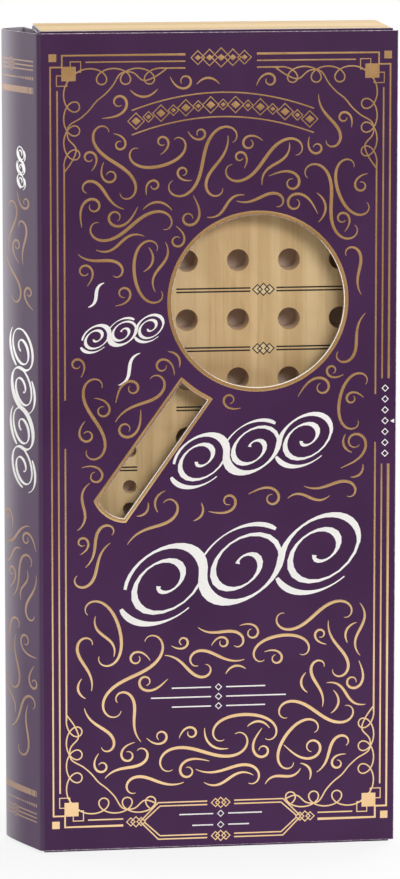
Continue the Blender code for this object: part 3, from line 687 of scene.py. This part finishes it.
for offset in (ARCH_LINE_OFFSET, -ARCH_LINE_OFFSET):
    run = np.linspace(ARCH_MIDDLE - ARCH_HALF_WIDTH, ARCH_MIDDLE + ARCH_HALF_WIDTH, 33)
    keep([(u, arch_height(u) + offset) for u in run], CORD_HALF)
for step in range(-7, 8):
    u = ARCH_MIDDLE + ARCH_STEP * step
    half, filled = ARCH_SIZES[step % 2]
    keep(outline(DIAMOND, (u, arch_height(u)), half), CORD_HALF)
    frame_strokes.append(solid_diamond((u, arch_height(u)), filled))
stamp("foil_frame", frame_strokes, GOLD)


# %% [markdown]
# ## Solid squares
# The corner squares are patches, not lines. Each starts as a four-sided disc that lies on the sheet
# and is turned square to it. They are joined, and get a thin bevel as foil has at its edge.

# %% Make the corner squares
PATCH_THICK = 0.08 * MM
patches = []
for corner in CORNERS:
    for at, size in ((SQUARE_AT, SQUARE_SIZE), (SMALL_SQUARE_AT, SMALL_SQUARE_SIZE)):
        u, v = inward(corner, at, at)
        bpy.ops.mesh.primitive_cylinder_add(
            vertices=4, radius=size * MM / sqrt(2), depth=PATCH_THICK,
            location=COVER_LOW + Vector((u * MM, 0.0, v * MM)),
            rotation=(radians(90), radians(45), 0.0),
        )
        patches.append(bpy.context.object)
only(patches[0])
for made in patches:
    made.select_set(True)
bpy.ops.object.join()
squares = bpy.context.object
squares.name = "foil_corner_squares"
settle(squares)
soften(squares, 0.02 * MM, 1)
dress(squares, "cover", "printed_purple_card", GOLD)
print(f"corner squares: {len(patches)}")


# %% [markdown]
# ## The rims of the window
# The lens and the handle are cut through the cover, and a gold rim is stamped round each cut. The rim
# is a closed stroke half its width outside the cut.

# %% Stamp the rims
def lens_outline(extra):
    return arc(LENS, LENS_RADIUS + extra, 0.0, 2 * pi, 120)[:-1]


def handle_outline(extra, steps=14):
    """The handle's outline, an arc round the lens at its start and a rounder one at its end."""
    half = HANDLE_HALF_WIDTH + extra
    start = HANDLE_START - extra
    spread = asin(half / start)
    end_radius = HANDLE_END_RADIUS + extra
    end_spread = asin(half / end_radius)
    middle = HANDLE_END - HANDLE_END_RADIUS * cos(asin(HANDLE_HALF_WIDTH / HANDLE_END_RADIUS))
    points = arc((0.0, 0.0), start, spread, -spread, steps)
    points += arc((middle, 0.0), end_radius, -end_spread, end_spread, steps)
    points = [turned(u, v, HANDLE_ANGLE) for u, v in points]
    return [(LENS[0] + u, LENS[1] + v) for u, v in points]


rims = [line(ring(shape(RIM_WIDTH / 2)), RIM_WIDTH / 2) for shape in (lens_outline, handle_outline)]
stamp("foil_window_rims", rims, GOLD, rise=RIM_RISE)

# %% Line the cut edges with the pale fibre that a die leaves, widened as a painted highlight
CUT_HALF, OUTER_CUT_HALF = 0.24, 0.16
CUT_HIGHLIGHT_WAY = radians(-42)
BEHIND_FACE = COVER_LOW + Vector((0.0, 0.1 * MM, 0.0))
FOLD_CLEAR = 0.3


def cut_stroke(points):
    """A closed stroke, full down and to the right, a painted highlight where the cut is lit, thin elsewhere.
    """
    made = []
    centre = np.mean(points, axis=0)
    for i, (u, v) in enumerate(points):
        before, after = points[i - 1], points[(i + 1) % len(points)]
        normal = np.array((after[1] - before[1], before[0] - after[0]))
        normal *= np.sign(normal @ (np.array((u, v)) - centre)) / np.hypot(*normal)
        # Painted highlight: the pale bead widens on the side that faces down and to the right.
        facing = normal @ (cos(CUT_HIGHLIGHT_WAY), sin(CUT_HIGHLIGHT_WAY))
        made.append((u, v, CUT_HALF * (0.4 + 0.6 * min(1.0, max(0.0, 1.6 * facing)))))
    return ring(made)


# The pale raw edge is real card, but its width follows the light, a painted highlight.
cuts = [cut_stroke(shape(0.0)) for shape in (lens_outline, handle_outline)]
stamp("window_cut_edges", cuts, RAW, BEHIND_FACE, rise=ROUND)
edge_run = [(FOLD_CLEAR, COVER_HEIGHT), (COVER_WIDTH, COVER_HEIGHT), (COVER_WIDTH, 0.0), (FOLD_CLEAR, 0.0)]
stamp("cover_cut_edges", [line(edge_run, OUTER_CUT_HALF)], RAW_LILAC, BEHIND_FACE, rise=ROUND)

# %% [markdown]
# ## Scrolls over the field
# Pen flourishes fill the field of such covers. Each is drawn as a pen moves: its curvature passes
# evenly through a few values, which gives a wave, a curl, a hook or a scroll, and it swells in the
# middle of the stroke. They are dropped at seeded places, the large ones first, and one is kept only
# where it stays clear of the windows, the frame and its neighbours.

# %% Function: flourish
FLOURISHES = {
    "s scroll": (22.0, 12.0, 5.0, 1.5, -1.5, -5.0, -12.0, -22.0),
    "c scroll": (20.0, 11.0, 4.0, 1.8, 1.8, 4.0, 11.0, 20.0),
    "curl": (15.0, 12.0, 8.5, 5.0, 2.0, -0.5),
    "hook": (14.0, 9.0, 4.0, 0.0, -2.5, -3.0),
    "small curl": (11.0, 9.5, 7.0, 3.5, 1.0),
    "wave": (2.6, 3.6, 0.0, -3.6, -2.6),
    "crescent": (1.2, 2.4, 1.2),
}


def flourish(kind, length, thick, turn, mirrored):
    """Points (u, v, half width) of one pen stroke about its own middle."""
    bends = FLOURISHES[kind]
    steps = max(14, int(length / 0.8))
    u = v = heading = 0.0
    points = []
    for i in range(steps + 1):
        share = i / steps
        place = share * (len(bends) - 1)
        index = min(int(place), len(bends) - 2)
        bend = bends[index] + (bends[index + 1] - bends[index]) * (place - index)
        points.append((u, v, 0.12 + thick * sin(pi * share) ** 0.8))
        heading += bend / steps
        u += cos(heading) * length / steps
        v += sin(heading) * length / steps
    middle = np.mean([p[:2] for p in points], axis=0)
    side = -1.0 if mirrored else 1.0
    return [(*turned((u - middle[0]) * side, v - middle[1], turn), half) for u, v, half in points]


def moved_by(stroke, u, v):
    return [(a + u, b + v, half) for a, b, half in stroke]


# %% Function: room_at, which tells whether a stroke keeps clear of all that it has to
FIELD_SIDE, FIELD_END = 7.9, 7.5
FIELD = (FRAME_LEFT + FIELD_SIDE, FRAME_RIGHT - FIELD_SIDE, FRAME_BOTTOM + FIELD_END, FRAME_TOP - FIELD_END)
LENS_CLEAR, HANDLE_CLEAR, ARCH_CLEAR, CORD_CLEAR = 1.6, 1.4, 2.0, 1.5
PLAQUE_CLEAR_U, PLAQUE_CLEAR_V = 3.0, 2.2
HANDLE_ROOM_AT, HANDLE_ROOM_HALF = 69.25, 31.25
ARCH_ROOM, CORD_ROOM, BRAID_ROOM = 6.8, 12.2, 37.5
WHITE_SLANT = radians(10)
WHITE_PLACES = (((80.0, 154.5), 34.0, 15.5), ((76.0, 109.0), 50.0, 20.5), ((30.5, 200.0), 18.5, 9.0),
                ((20.5, 214.5), 8.5, 3.5), ((33.0, 186.0), 10.5, 3.5), ((67.0, 58.5), 31.0, 8.0))


def outside_box(du, dv, wide, tall):
    """How far a point that is du, dv from a box's middle lies beyond its half width or half height."""
    return np.maximum(np.abs(du) - wide, np.abs(dv) - tall)


def room_at(points):
    """Below zero where a point lies beyond the field's edge, or on anything that is kept free."""
    u, v = points[:, 0], points[:, 1]
    left, right, low, high = FIELD
    du, dv = u - LENS[0], v - LENS[1]
    along, across = turned(du, dv, -HANDLE_ANGLE)
    beside = HANDLE_HALF_WIDTH + RIM_WIDTH + HANDLE_CLEAR
    plaque_wide, plaque_tall = PLAQUE_TIP + PLAQUE_CLEAR_U, PLAQUE_HALF_HEIGHT + PLAQUE_CLEAR_V
    rooms = [
        u - left, right - u, v - low, high - v,
        np.hypot(du, dv) - LENS_RADIUS - RIM_WIDTH - LENS_CLEAR,
        outside_box(along - HANDLE_ROOM_AT, across, HANDLE_ROOM_HALF, beside),
        outside_box(u - PLAQUE_U, v - PLAQUE_V, plaque_wide, plaque_tall),
        outside_box(u - ARCH_MIDDLE, v - arch_height(u), ARCH_HALF_WIDTH + ARCH_CLEAR, ARCH_ROOM),
    ]
    for corner_u, corner_v, _, _ in CORNERS:
        a, b = np.abs(u - corner_u), np.abs(v - corner_v)
        rooms.append(np.maximum(np.maximum(a, b) - THIRD_START - CORD_CLEAR, np.minimum(a, b) - CORD_ROOM))
        rooms.append(a + b - BRAID_ROOM)
    for (cu, cv), wide, tall in WHITE_PLACES:
        x, y = turned(u - cu, v - cv, -WHITE_SLANT)
        rooms.append((x / wide) ** 4 + (y / tall) ** 4 - 1)
    return np.min(rooms)


# %% Function: scatter
def scatter(seed, drops, field, room, clear, sample_step):
    """Flourishes at seeded places in a field, those that have room and stay clear of one another."""
    rng = random.Random(seed)
    taken = np.empty((0, 2))
    kept = []
    for kind, most, (short, tall), thick, tries in drops:
        first = len(kept)
        for _ in range(tries):
            if len(kept) == first + most:
                break
            length = rng.uniform(short, tall)
            shape = flourish(kind, length, thick, rng.uniform(0, 2 * pi), rng.random() < 0.5)
            u, v = rng.uniform(field[0], field[1]), rng.uniform(field[2], field[3])
            stroke = moved_by(shape, u, v)
            samples = np.array([p[:2] for p in stroke])[::sample_step]
            if room(samples) < 0.0:
                continue
            gaps = np.hypot(*(samples[:, None] - taken[None]).transpose(2, 0, 1))
            if not gaps.size or gaps.min() >= clear:
                taken = np.vstack([taken, samples])
                kept.append(stroke)
        print(f"{kind}: {len(kept) - first} of {most}")
    return kept


# %% Drop the gold ones, large to small
DROPS = (
    ("s scroll", 10, (44.0, 56.0), 0.62, 900), ("c scroll", 8, (38.0, 48.0), 0.58, 900),
    ("hook", 30, (24.0, 34.0), 0.55, 2600), ("curl", 50, (22.0, 32.0), 0.46, 4200),
    ("wave", 40, (16.0, 26.0), 0.48, 3200), ("small curl", 60, (14.0, 20.0), 0.38, 5200),
    ("crescent", 70, (8.0, 16.0), 0.38, 4200),
)
STROKE_CLEAR = 1.95
stamp("foil_scrolls", scatter(7, DROPS, FIELD, room_at, STROKE_CLEAR, sample_step=2), GOLD)

# %% [markdown]
# ## White pen work
# The boldest print on the cover is white: running vine scrolls, an ornament as old as columns. The
# stem goes over one circle and under the next, and in each circle a branch winds inward to a small
# ball. A broad pen makes a stroke thick where it travels one way and thin where it travels across.

# %% Function: vine
PEN_ANGLE = radians(35)
PEN_LEAN, PEN_SQUASH = 0.28, 0.86


def pen(points, thin, thick):
    """Gives a line of points the widths of a broad pen held at one angle, and tapers its ends."""
    made = []
    for i, (u, v) in enumerate(points):
        a, b = points[max(i - 1, 0)], points[min(i + 1, len(points) - 1)]
        heading = atan2(b[1] - a[1], b[0] - a[0])
        swell = sin(pi * (i + 0.5) / len(points)) ** 0.5
        made.append((u, v, thin + thick * swell * abs(sin(heading - PEN_ANGLE)) ** 1.5))
    return made


def vine(centre, circles, radius, thick, slant=WHITE_SLANT):
    """A leaning stem over and under a row of circles, with a spiral branch in each and a leaf beyond."""
    def drawn(points, thin, thick):
        placed = [turned(u + PEN_LEAN * v, PEN_SQUASH * v, slant) for u, v in points]
        return pen([(centre[0] + u, centre[1] + v) for u, v in placed], thin, thick)

    stem, made = [], []
    for k in range(circles):
        middle = (2 * k + 1 - circles) * radius
        over = 1 if k % 2 == 0 else -1
        stem += arc((middle, 0.0), radius, over * pi, 0.0, 16)[: None if k == circles - 1 else -1]
        branch = []
        for share in np.linspace(0.0, 1.0, 31):
            turn = over * (0.35 - 2.9 * pi * share)
            size = radius * (0.86 * (1 - share) ** 0.8 + 0.16)
            branch.append((middle + size * cos(turn), size * sin(turn)))
        made.append(drawn(branch, 0.14 * thick + 0.08, 0.62 * thick))
        made[-1][-1] = (*made[-1][-1][:2], 0.5 * thick)
        leaf = arc((middle, 0.0), 1.17 * radius, -over * radians(152), -over * radians(50), 16)
        made.append(drawn(leaf, 0.1 * thick + 0.06, 0.8 * thick))
    made.append(drawn(stem, 0.18 * thick + 0.1, thick))
    return made


# %% Draw the white pen work
VINE_SIZES = ((10.2, 1.6), (15.2, 2.1), (5.2, 0.95))
WAVES = ((20.5, 214.5, 12.0), (33.0, 186.0, 16.0))
DIVIDERS = ((67.0, 58.5, 26.0), (67.0, 62.2, 18.0), (67.0, 54.8, 18.0),
            (PLAQUE_U, PLAQUE_V + 2.2, 16.0), (PLAQUE_U, PLAQUE_V - 2.2, 11.0))
DIVIDER_START, DIVIDER_HALF = 2.9, 0.29
DIAMOND_SIZE, DIAMOND_LINE = 1.2, 0.27
SIDE_DIAMONDS, SIDE_DIAMOND_PITCH, SIDE_DIAMONDS_IN, SIDE_DIAMOND_EDGE = 7, 4.2, 4.0, 1.3
POINTER = ((2.2, 0.9), (0.9, 0.2))
white = []
for (centre, _, _), (radius, thick) in zip(WHITE_PLACES, VINE_SIZES):
    white += vine(centre, 3, radius, thick)
for u, v, length in WAVES:
    white.append(moved_by(flourish("wave", length, 0.62, WHITE_SLANT, False), u, v))
heights = [SIDE_GAP[0] + SIDE_DIAMONDS_IN + SIDE_DIAMOND_PITCH * step for step in range(SIDE_DIAMONDS)]
diamonds = [(FRAME_RIGHT - SIDE_DIAMOND_EDGE, height) for height in heights]
for u, v, reach in DIVIDERS:
    for side in (-1, 1):
        white.append(line([(u + side * DIVIDER_START, v), (u + side * reach, v)], DIVIDER_HALF))
    diamonds.append((u, v))
white += [line(outline(DIAMOND, centre, DIAMOND_SIZE), DIAMOND_LINE) for centre in diamonds]
white.append([(FRAME_RIGHT + out, sum(SIDE_GAP) / 2, half) for out, half in POINTER])
stamp("white_pen_work", white, WHITE)

# %% [markdown]
# ## Lines on the board
# Between the rows the board has pairs of thin black lines with three diamonds in their middle, and a
# short pair beside the score holes. They are printed on the wood, so they ride with the carton, and
# their places follow from the rows of holes.

# %% Print the lines on the board
BOARD_LOW, BOARD_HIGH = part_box("game_board")
BOARD_WIDTH = (BOARD_HIGH.x - BOARD_LOW.x) / MM
ROWS, ROW_PITCH, LAST_ROW = 10, 22.75, 19.9
CODE_RIGHT_MARGIN, CODE_PITCH, CODE_COLUMNS = 16.7, 19.6, 4
SCORE_FIRST, SCORE_LAST = 16.7, 32.25
LINE_HALF, PAIR_HALF_GAP, TRIO_HALF = 0.34, 0.62, 2.3
PAST_CODE, PAST_SCORE, TRIO_GAP, RIGHT_END = 4.0, 2.9, 5.0, 9.0
code_last = BOARD_WIDTH - CODE_RIGHT_MARGIN
code_first = code_last - (CODE_COLUMNS - 1) * CODE_PITCH
code_middle = code_last - (CODE_COLUMNS - 1) * CODE_PITCH / 2
RUNS = ((code_first - PAST_CODE, code_middle - TRIO_GAP), (code_middle + TRIO_GAP, BOARD_WIDTH - RIGHT_END),
        (SCORE_FIRST - PAST_SCORE, SCORE_LAST + PAST_SCORE))
board_lines, pale_fills = [], []
for row in range(1, ROWS):
    height = LAST_ROW + (row - 0.5) * ROW_PITCH
    for v in (height - PAIR_HALF_GAP, height + PAIR_HALF_GAP):
        board_lines += [line([(start, v), (end, v)], LINE_HALF) for start, end in RUNS]
    for points in trio((code_middle, height), TRIO_HALF):
        board_lines.append(line(points, LINE_HALF))
        middle, half = (points[0][0] + points[2][0]) / 2, (points[2][0] - points[0][0]) / 2
        pale_fills.append(solid_diamond((middle, height), half))
stamp("board_lines", board_lines, INK, BOARD_LOW, "carton", "pale_wood")
stamp("board_pale_diamonds", pale_fills, CREAM_INK, BOARD_LOW, "carton", "pale_wood", rise=INK_FILL_RISE)

# %% [markdown]
# ## The board, its holes softened
# A drilled hole in softwood has a small worn bevel at its mouth that catches the light. The packed
# board has plain edges, so a copy is joined, bevelled a little and shaded smooth, and replaces it.

# %% Bevel the board and shade it smooth
BOARD_SHIFT = (0.009, 0.3, 0.1)
board = merged_copy("game_board", "wooden_board")
soften(board, 0.28 * MM, 2)
shade_smooth(32)
board_wood = pale_wood("board wood", BOARD_SHIFT, drilled_node="game_board")
dress(board, "carton", "pale_wood", board_wood, "game_board")
print(f"board: {len(board.data.polygons)} faces")

# %% [markdown]
# ## The spine
# The spine is a folded tube of the same printed card. Light grazes it, so it looks greyer than the
# cover, and its rounded back is painted paler, a painted sheen, and made smoother. Its gold bands are
# printed across it near both ends in a darker gold, a painted shade, and since both ends match, one
# mask measured from the nearest end draws them all.

# %% Group: the spine's bands
SPINE_LOW, SPINE_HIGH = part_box("spine")
THIN_BANDS = (10.6, 12.2, 13.8)
DOT_BAND, DOT_PITCH, DOT_SHARE = 17.0, 1.3, 0.6
DOTS_START, DOTS_END, DOT_HALF, DOT_LINE_HALF = 3.0, 13.0, 0.6, 0.26
THICK_BAND, THICK_HALF, BANDS_START = 21.6, 1.2, 2.6
SLITS = ((3.2, 0.2), (5.6, 0.15))
KNOT_AT, KNOT_LINES, KNOT_HALF, KNOT_ROOM = 16.0, (2.4, 1.0), 0.26, 2.9
BANDS, given, result = new_group("spine bands", {"Thin half": 0.26}, ("Gold",))
_, depth, height = split(object_place(BANDS))
from_end = divided(smaller(minus(height, SPINE_LOW.z), minus(SPINE_HIGH.z, height)), MM)
from_fold = divided(minus(depth, SPINE_LOW.y), MM)


def apart(value, centre):
    return calc("ABSOLUTE", minus(value, centre))


def within(value, centre, half):
    """One where the value is less than half from the centre."""
    return below(apart(value, centre), half)


gold = 0.0
for at in THIN_BANDS:
    gold = larger(gold, within(from_end, at, given["Thin half"]))
knot = plus(apart(from_end, THIN_BANDS[1]), apart(from_fold, KNOT_AT))
gold = times(gold, above(knot, KNOT_ROOM))
for at in KNOT_LINES:
    gold = larger(gold, within(knot, at, KNOT_HALF))
dots = below(calc("FRACT", divided(from_fold, DOT_PITCH)), DOT_SHARE)
dots = larger(dots, above(from_fold, DOTS_END))
dot_half = ramp(from_fold, DOTS_START, DOTS_END, DOT_HALF, DOT_LINE_HALF)
gold = larger(gold, times(dots, within(from_end, DOT_BAND, dot_half)))
slits = larger(*(within(from_fold, at, half) for at, half in SLITS))
gold = larger(gold, times(within(from_end, THICK_BAND, THICK_HALF), minus(1.0, slits)))
put(times(gold, above(from_fold, BANDS_START)), result["Gold"])

# %% Function: spine_print
# Painted sheen: the ink is blended towards pale grey across the rounded back, as grazing light would show it.
PAINTED_SHEEN_PALE = (0.44, 0.40, 0.44)
# The spine's bands are a darkened gold, a painted shade.
SHADED_BAND_GOLD = (0.36, 0.23, 0.16)
PALE_END = (0.86, 0.83, 0.84)
SHEEN_AND_SMOOTHING_FROM, SHEEN_AND_SMOOTHING_TO = (SPINE_LOW.y + depth * MM for depth in (8.0, 34.0))


def spine_print():
    material, tree, shader = new_finish("spine print", Specular_IOR_Level=0.8)
    fibre = use_group(tree, CARD_FIBRE, Strength=0.25)
    gold = use_group(tree, BANDS, Thin_half=0.26)["Gold"]
    raw = above(calc("ABSOLUTE", split(add(tree, "TexCoord").outputs["Normal"])[2]), 0.7)
    sheen_and_smoothing = ramp(split(object_place(tree))[1], SHEEN_AND_SMOOTHING_FROM, SHEEN_AND_SMOOTHING_TO)
    ink = blend(fibre["Tone"], PURPLE_DEEP, PURPLE_SOFT)
    # Painted sheen on the rounded back; the same ramp lowers the roughness there.
    ink = blend(times(sheen_and_smoothing, 0.8), ink, PAINTED_SHEEN_PALE)
    ink = blend(gold, ink, SHADED_BAND_GOLD)
    edge = blend(fibre["Speckle"], RAW_EDGE_DARK, PALE_END)
    rough = larger(minus(0.62, times(sheen_and_smoothing, 0.24)), times(raw, 0.8))
    fill(shader, Base_Color=blend(raw, ink, edge), Metallic=times(gold, 0.4), Roughness=rough,
         Normal=fibre["Normal"])
    return material


# %% Shade the spine smooth and close it up to the cover's fold
FOLD_GAP, FOLD_DEEP, FOLD_WIDE = 0.02 * MM, 0.75 * MM, 0.35 * MM
spine = merged_copy("spine", "spine_tube")
fold_x = COVER_LOW.x - FOLD_GAP
for vertex in spine.data.vertices:
    if vertex.co.y < COVER_LOW.y + FOLD_DEEP and vertex.co.x > fold_x - FOLD_WIDE:
        vertex.co.x = fold_x
shade_smooth(40)
dress(spine, "carton", "printed_purple_card", spine_print(), "spine")
print(f"spine: {len(spine.data.polygons)} faces")

# %% [markdown]
# ## Strokes on the rounded spine
# The spine carries the same scrolls, upright. They are drawn flat, as on the cover, turned to face left,
# and then each point is moved out to where the spine's own outline is at that depth. So they lie on
# the curve and cross it as print does.

# %% Scatter the spine's strokes
SPINE_DROPS = (("hook", 500, (22.0, 30.0), 0.5, 500), ("curl", 900, (16.0, 24.0), 0.42, 900),
               ("wave", 900, (12.0, 18.0), 0.42, 900))
SPINE_VINES = (((23.0, 170.0), 4, 7.6, 1.0), ((23.0, 262.0), 3, 2.6, 0.5))
VINE_ROOMS = ((170.0, 38.0), (262.0, 8.0))
SPINE_FIELD, SPINE_EDGES = (12.0, 29.0, 40.0, 262.0), (10.0, 31.2)
SPINE_STROKE_CLEAR = 2.2
UPRIGHT = radians(90)


def room_on_spine(points):
    """Below zero where a point lies beyond the spine's edges or beside one of the two vines."""
    u, v = points[:, 0], points[:, 1]
    rooms = [u - SPINE_EDGES[0], SPINE_EDGES[1] - u]
    rooms += [np.abs(v - middle) - reach for middle, reach in VINE_ROOMS]
    return np.min(rooms)


spine_gold = scatter(3, SPINE_DROPS, SPINE_FIELD, room_on_spine, SPINE_STROKE_CLEAR, sample_step=1)
spine_white = [stroke for vine_size in SPINE_VINES for stroke in vine(*vine_size, UPRIGHT)]

# %% Wrap them round the spine
bpy.context.view_layer.update()
depth_margin = 0.5 * MM
depths = np.linspace(SPINE_LOW.y + depth_margin, SPINE_HIGH.y - depth_margin, 120)
middle_high = (SPINE_LOW.z + SPINE_HIGH.z) / 2
reach = [spine.ray_cast((-1.0, depth, middle_high), (1.0, 0.0, 0.0))[1].x for depth in depths]
SPINE_ORIGIN = Vector((0.0, SPINE_HIGH.y, SPINE_LOW.z))
# The spine's gold scrolls take the shaded gold, a painted shade.
for name, strokes, finish in (("spine_foil_scrolls", spine_gold, SHADED_GOLD),
                              ("spine_white_vine", spine_white, WHITE)):
    piece = stamp(name, strokes, finish, SPINE_ORIGIN, "carton", facing=-UPRIGHT)
    for vertex in piece.data.vertices:
        vertex.co.x += float(np.interp(vertex.co.y, depths, reach))

# %% [markdown]
# ## Finishes for the plates
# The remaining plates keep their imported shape, and each gets the finish of its own side: the face
# that points outwards is printed, and its back is bare board.

# %% Dress the plates
PURPLE_PLATES = {"carton_front": "front", "carton_left_side": "left", "carton_back": "back"}
PAGE_PLATES = {"carton_right_side": "right", "top_lid": "top", "top_tuck_flap": "front",
               "bottom_panel": "bottom", "bottom_tuck_flap": "front"}
BARE_PLATES = ("top_dust_flap_left", "top_dust_flap_right", "bottom_dust_flap_left",
               "bottom_dust_flap_right", "card_insert")
WOODEN_PLATES = ("code_shield", "shield_rail_left", "shield_rail_right", "peg_pocket_lid")
finishes = {"front_cover": purple_print("front_cover", "front", both_sides=True, folded_left=20.0)}
finishes.update({node: purple_print(node, side) for node, side in PURPLE_PLATES.items()})
finishes.update({node: page_edges(node, side) for node, side in PAGE_PLATES.items()})
finishes.update(dict.fromkeys(BARE_PLATES, plain_card("bare card", CARD_PALE, CARD_GREY, 0.5)))
finishes["rules_leaflet"] = plain_card("white paper", (0.86, 0.85, 0.81), (0.78, 0.76, 0.71), 0.15)
for index, node in enumerate(WOODEN_PLATES):
    finishes[node] = pale_wood(f"{node} wood", (0.21 * (index + 1), 0.1, 0.4 * index), 0.2)
for node, material in finishes.items():
    mesh = NODES[node].data
    mesh.materials.clear()
    mesh.materials.append(material)
print(f"{len(finishes)} plates dressed")

# %% [markdown]
# ## Pegs
# The pegs are turned wood, dipped in paint. The paint has worn thin in fine streaks, and the turned
# shape needs smooth shading, so each peg is a joined copy of its node.

# %% Function: peg_paint
PEG_COLOURS = {
    "red": (0.56, 0.03, 0.03), "orange": (0.78, 0.23, 0.02), "yellow": (0.82, 0.56, 0.05),
    "green": (0.04, 0.28, 0.08), "blue": (0.03, 0.10, 0.42), "purple": (0.18, 0.04, 0.32),
    "black": (0.02, 0.02, 0.02), "white": (0.80, 0.80, 0.77),
}


def peg_paint(colour):
    material, tree, shader = new_finish(f"{colour} peg paint", Coat_Weight=0.25, Coat_Roughness=0.25)
    base = PEG_COLOURS[colour]
    darker = [0.8 * value for value in base]
    place = object_place(tree)
    cloud = noise(place, 300.0, 4.0)
    streak = noise(place, 1.0, 3.0, stretch=(60.0, 1400.0, 1400.0))
    paint = blend(ramp(streak, 0.60, 0.80, 0.0, 0.35), base, WOOD_MID)
    paint = blend(ramp(cloud, 0.4, 0.7), paint, darker)
    rough = ramp(cloud, 0.3, 0.7, 0.3, 0.46)
    fill(shader, Base_Color=paint, Roughness=rough, Normal=bump(streak, 0.2, 0.03))
    return material


# %% Dress the pegs
paints = {colour: peg_paint(colour) for colour in PEG_COLOURS}
pegs = sorted(name for name in NODES if name.startswith(("code_peg_", "score_peg_")))
for node in pegs:
    colour = node.split("_")[2]
    peg = merged_copy(node, f"{node}_turned")
    shade_smooth(35)
    dress(peg, "carton", f"painted_{colour}", paints[colour], node)
print(f"{len(pegs)} pegs")

# %% [markdown]
# ## Studio
# The carton stands on white paper that fades into a white backdrop. Behind and beside the carton all is
# white, to the camera and to mirrors, but in front of it, where the camera stands, the room is dim and
# warm. So the foil and the satin print mirror the bright paper low down and the dim room higher up, and
# the spine mirrors the white at its side. As a lamp the world is even and weak. The key lamp stands in
# front at the upper right, so that the window's rim throws a soft shade on the board.

# %% Function: seen_by_eye_or_mirror
def seen_by_eye_or_mirror(tree):
    """One for a ray from the camera, off a mirror or through glass, else zero."""
    ray = add(tree, "LightPath").outputs
    return larger(larger(ray["Is Camera Ray"], ray["Is Glossy Ray"]), ray["Is Transmission Ray"])


# %% Lay the floor
FLOOR_SIZE, FLOOR_REACH = 1.8, 0.46
SHADE_START, SHADE_END, WHITE_IN_SHADE = -0.004, 0.08, 0.80
floor_middle = (0.0, FLOOR_SIZE / 2 - FLOOR_REACH, CAD_BOX[0].z)
bpy.ops.mesh.primitive_plane_add(size=FLOOR_SIZE, location=floor_middle)
floor = bpy.context.object
floor.name = "studio_floor"
settle(floor)
material, tree, shader = new_finish("studio paper", Roughness=0.9, Specular_IOR_Level=0.1)
fibre = use_group(tree, CARD_FIBRE, Strength=0.05)
fill(shader, Base_Color=blend(fibre["Tone"], (0.93, 0.93, 0.93), (0.95, 0.95, 0.95)))
sizes = split(calc_vector("ABSOLUTE", object_place(tree)))
gap = larger(minus(sizes[0], CAD_BOX[1].x), minus(sizes[1], CAD_BOX[1].y))
fade = ramp(gap, SHADE_START, SHADE_END, WHITE_IN_SHADE, 1.0)
fade = larger(fade, add(tree, "LightPath").outputs["Is Glossy Ray"])
fade = times(fade, seen_by_eye_or_mirror(tree))
paper_white = add(tree, "Emission", {"Color": (1.0, 1.0, 1.0), "Strength": 1.0})
mixed = add(tree, "MixShader", {0: fade, 1: shader.outputs[0], 2: paper_white.outputs[0]})
put(mixed.outputs[0], tree.nodes["Material Output"].inputs["Surface"])
floor.data.materials.append(material)

# %% Set the world and the lamps
WORLD_AS_LAMP = 0.46
DIM_ROOM = (0.215, 0.140, 0.060)
world = bpy.data.worlds.new("studio")
bpy.context.scene.world = world
world.use_nodes = True
tree = world.node_tree
way = split(add(tree, "TexCoord").outputs["Generated"])
in_front = ramp(way[1], -0.8, -0.15, 1.0, 0.0)
mirrored = times(in_front, add(tree, "LightPath").outputs["Is Glossy Ray"])
room_colour = blend(mirrored, (1.0, 1.0, 1.0), DIM_ROOM)
seen = seen_by_eye_or_mirror(tree)
fill(tree.nodes["Background"], Color=room_colour, Strength=plus(times(minus(1.0, seen), WORLD_AS_LAMP), seen))


def soft_lamp(name, place, size, power, aim=Vector((0.0, 0.0, 0.16))):
    bpy.ops.object.light_add(type="AREA", location=place)
    lamp = bpy.context.object
    lamp.name = name
    lamp.data.shape = "RECTANGLE"
    lamp.data.size, lamp.data.size_y = size
    lamp.data.energy = power
    lamp.rotation_euler = (aim - Vector(place)).to_track_quat("-Z", "Y").to_euler()


soft_lamp("key", (0.50, -1.45, 0.95), (0.75, 0.45), 16.0)
soft_lamp("spine_side", (-1.2, 0.75, 0.3), (0.5, 1.2), 9.0)
soft_lamp("back_fill", (0.9, 1.3, 0.9), (1.2, 1.2), 17.0)
print("studio lit")

# %% [markdown]
# ## Camera
# The photograph looks slightly down on the carton from its spine side, through a long lens. The
# sensor's long side is upright. The camera is tilted little and its view is shifted down instead,
# which keeps the carton's sides nearly parallel.

# %% Place the camera
CAMERA_TURN, CAMERA_TILT = -6.98, 7.22
camera = new_piece("camera", bpy.data.cameras.new("camera"))
camera.location = (-0.1827, -1.5018, 0.4393)
camera.rotation_euler = (radians(90 - CAMERA_TILT), 0.0, radians(CAMERA_TURN))
camera.data.sensor_width = 36.0
camera.data.lens = 163.8
camera.data.shift_y = -0.27
camera.data.clip_start = 0.05
bpy.context.scene.camera = camera
bpy.context.scene.view_settings.view_transform = "Standard"
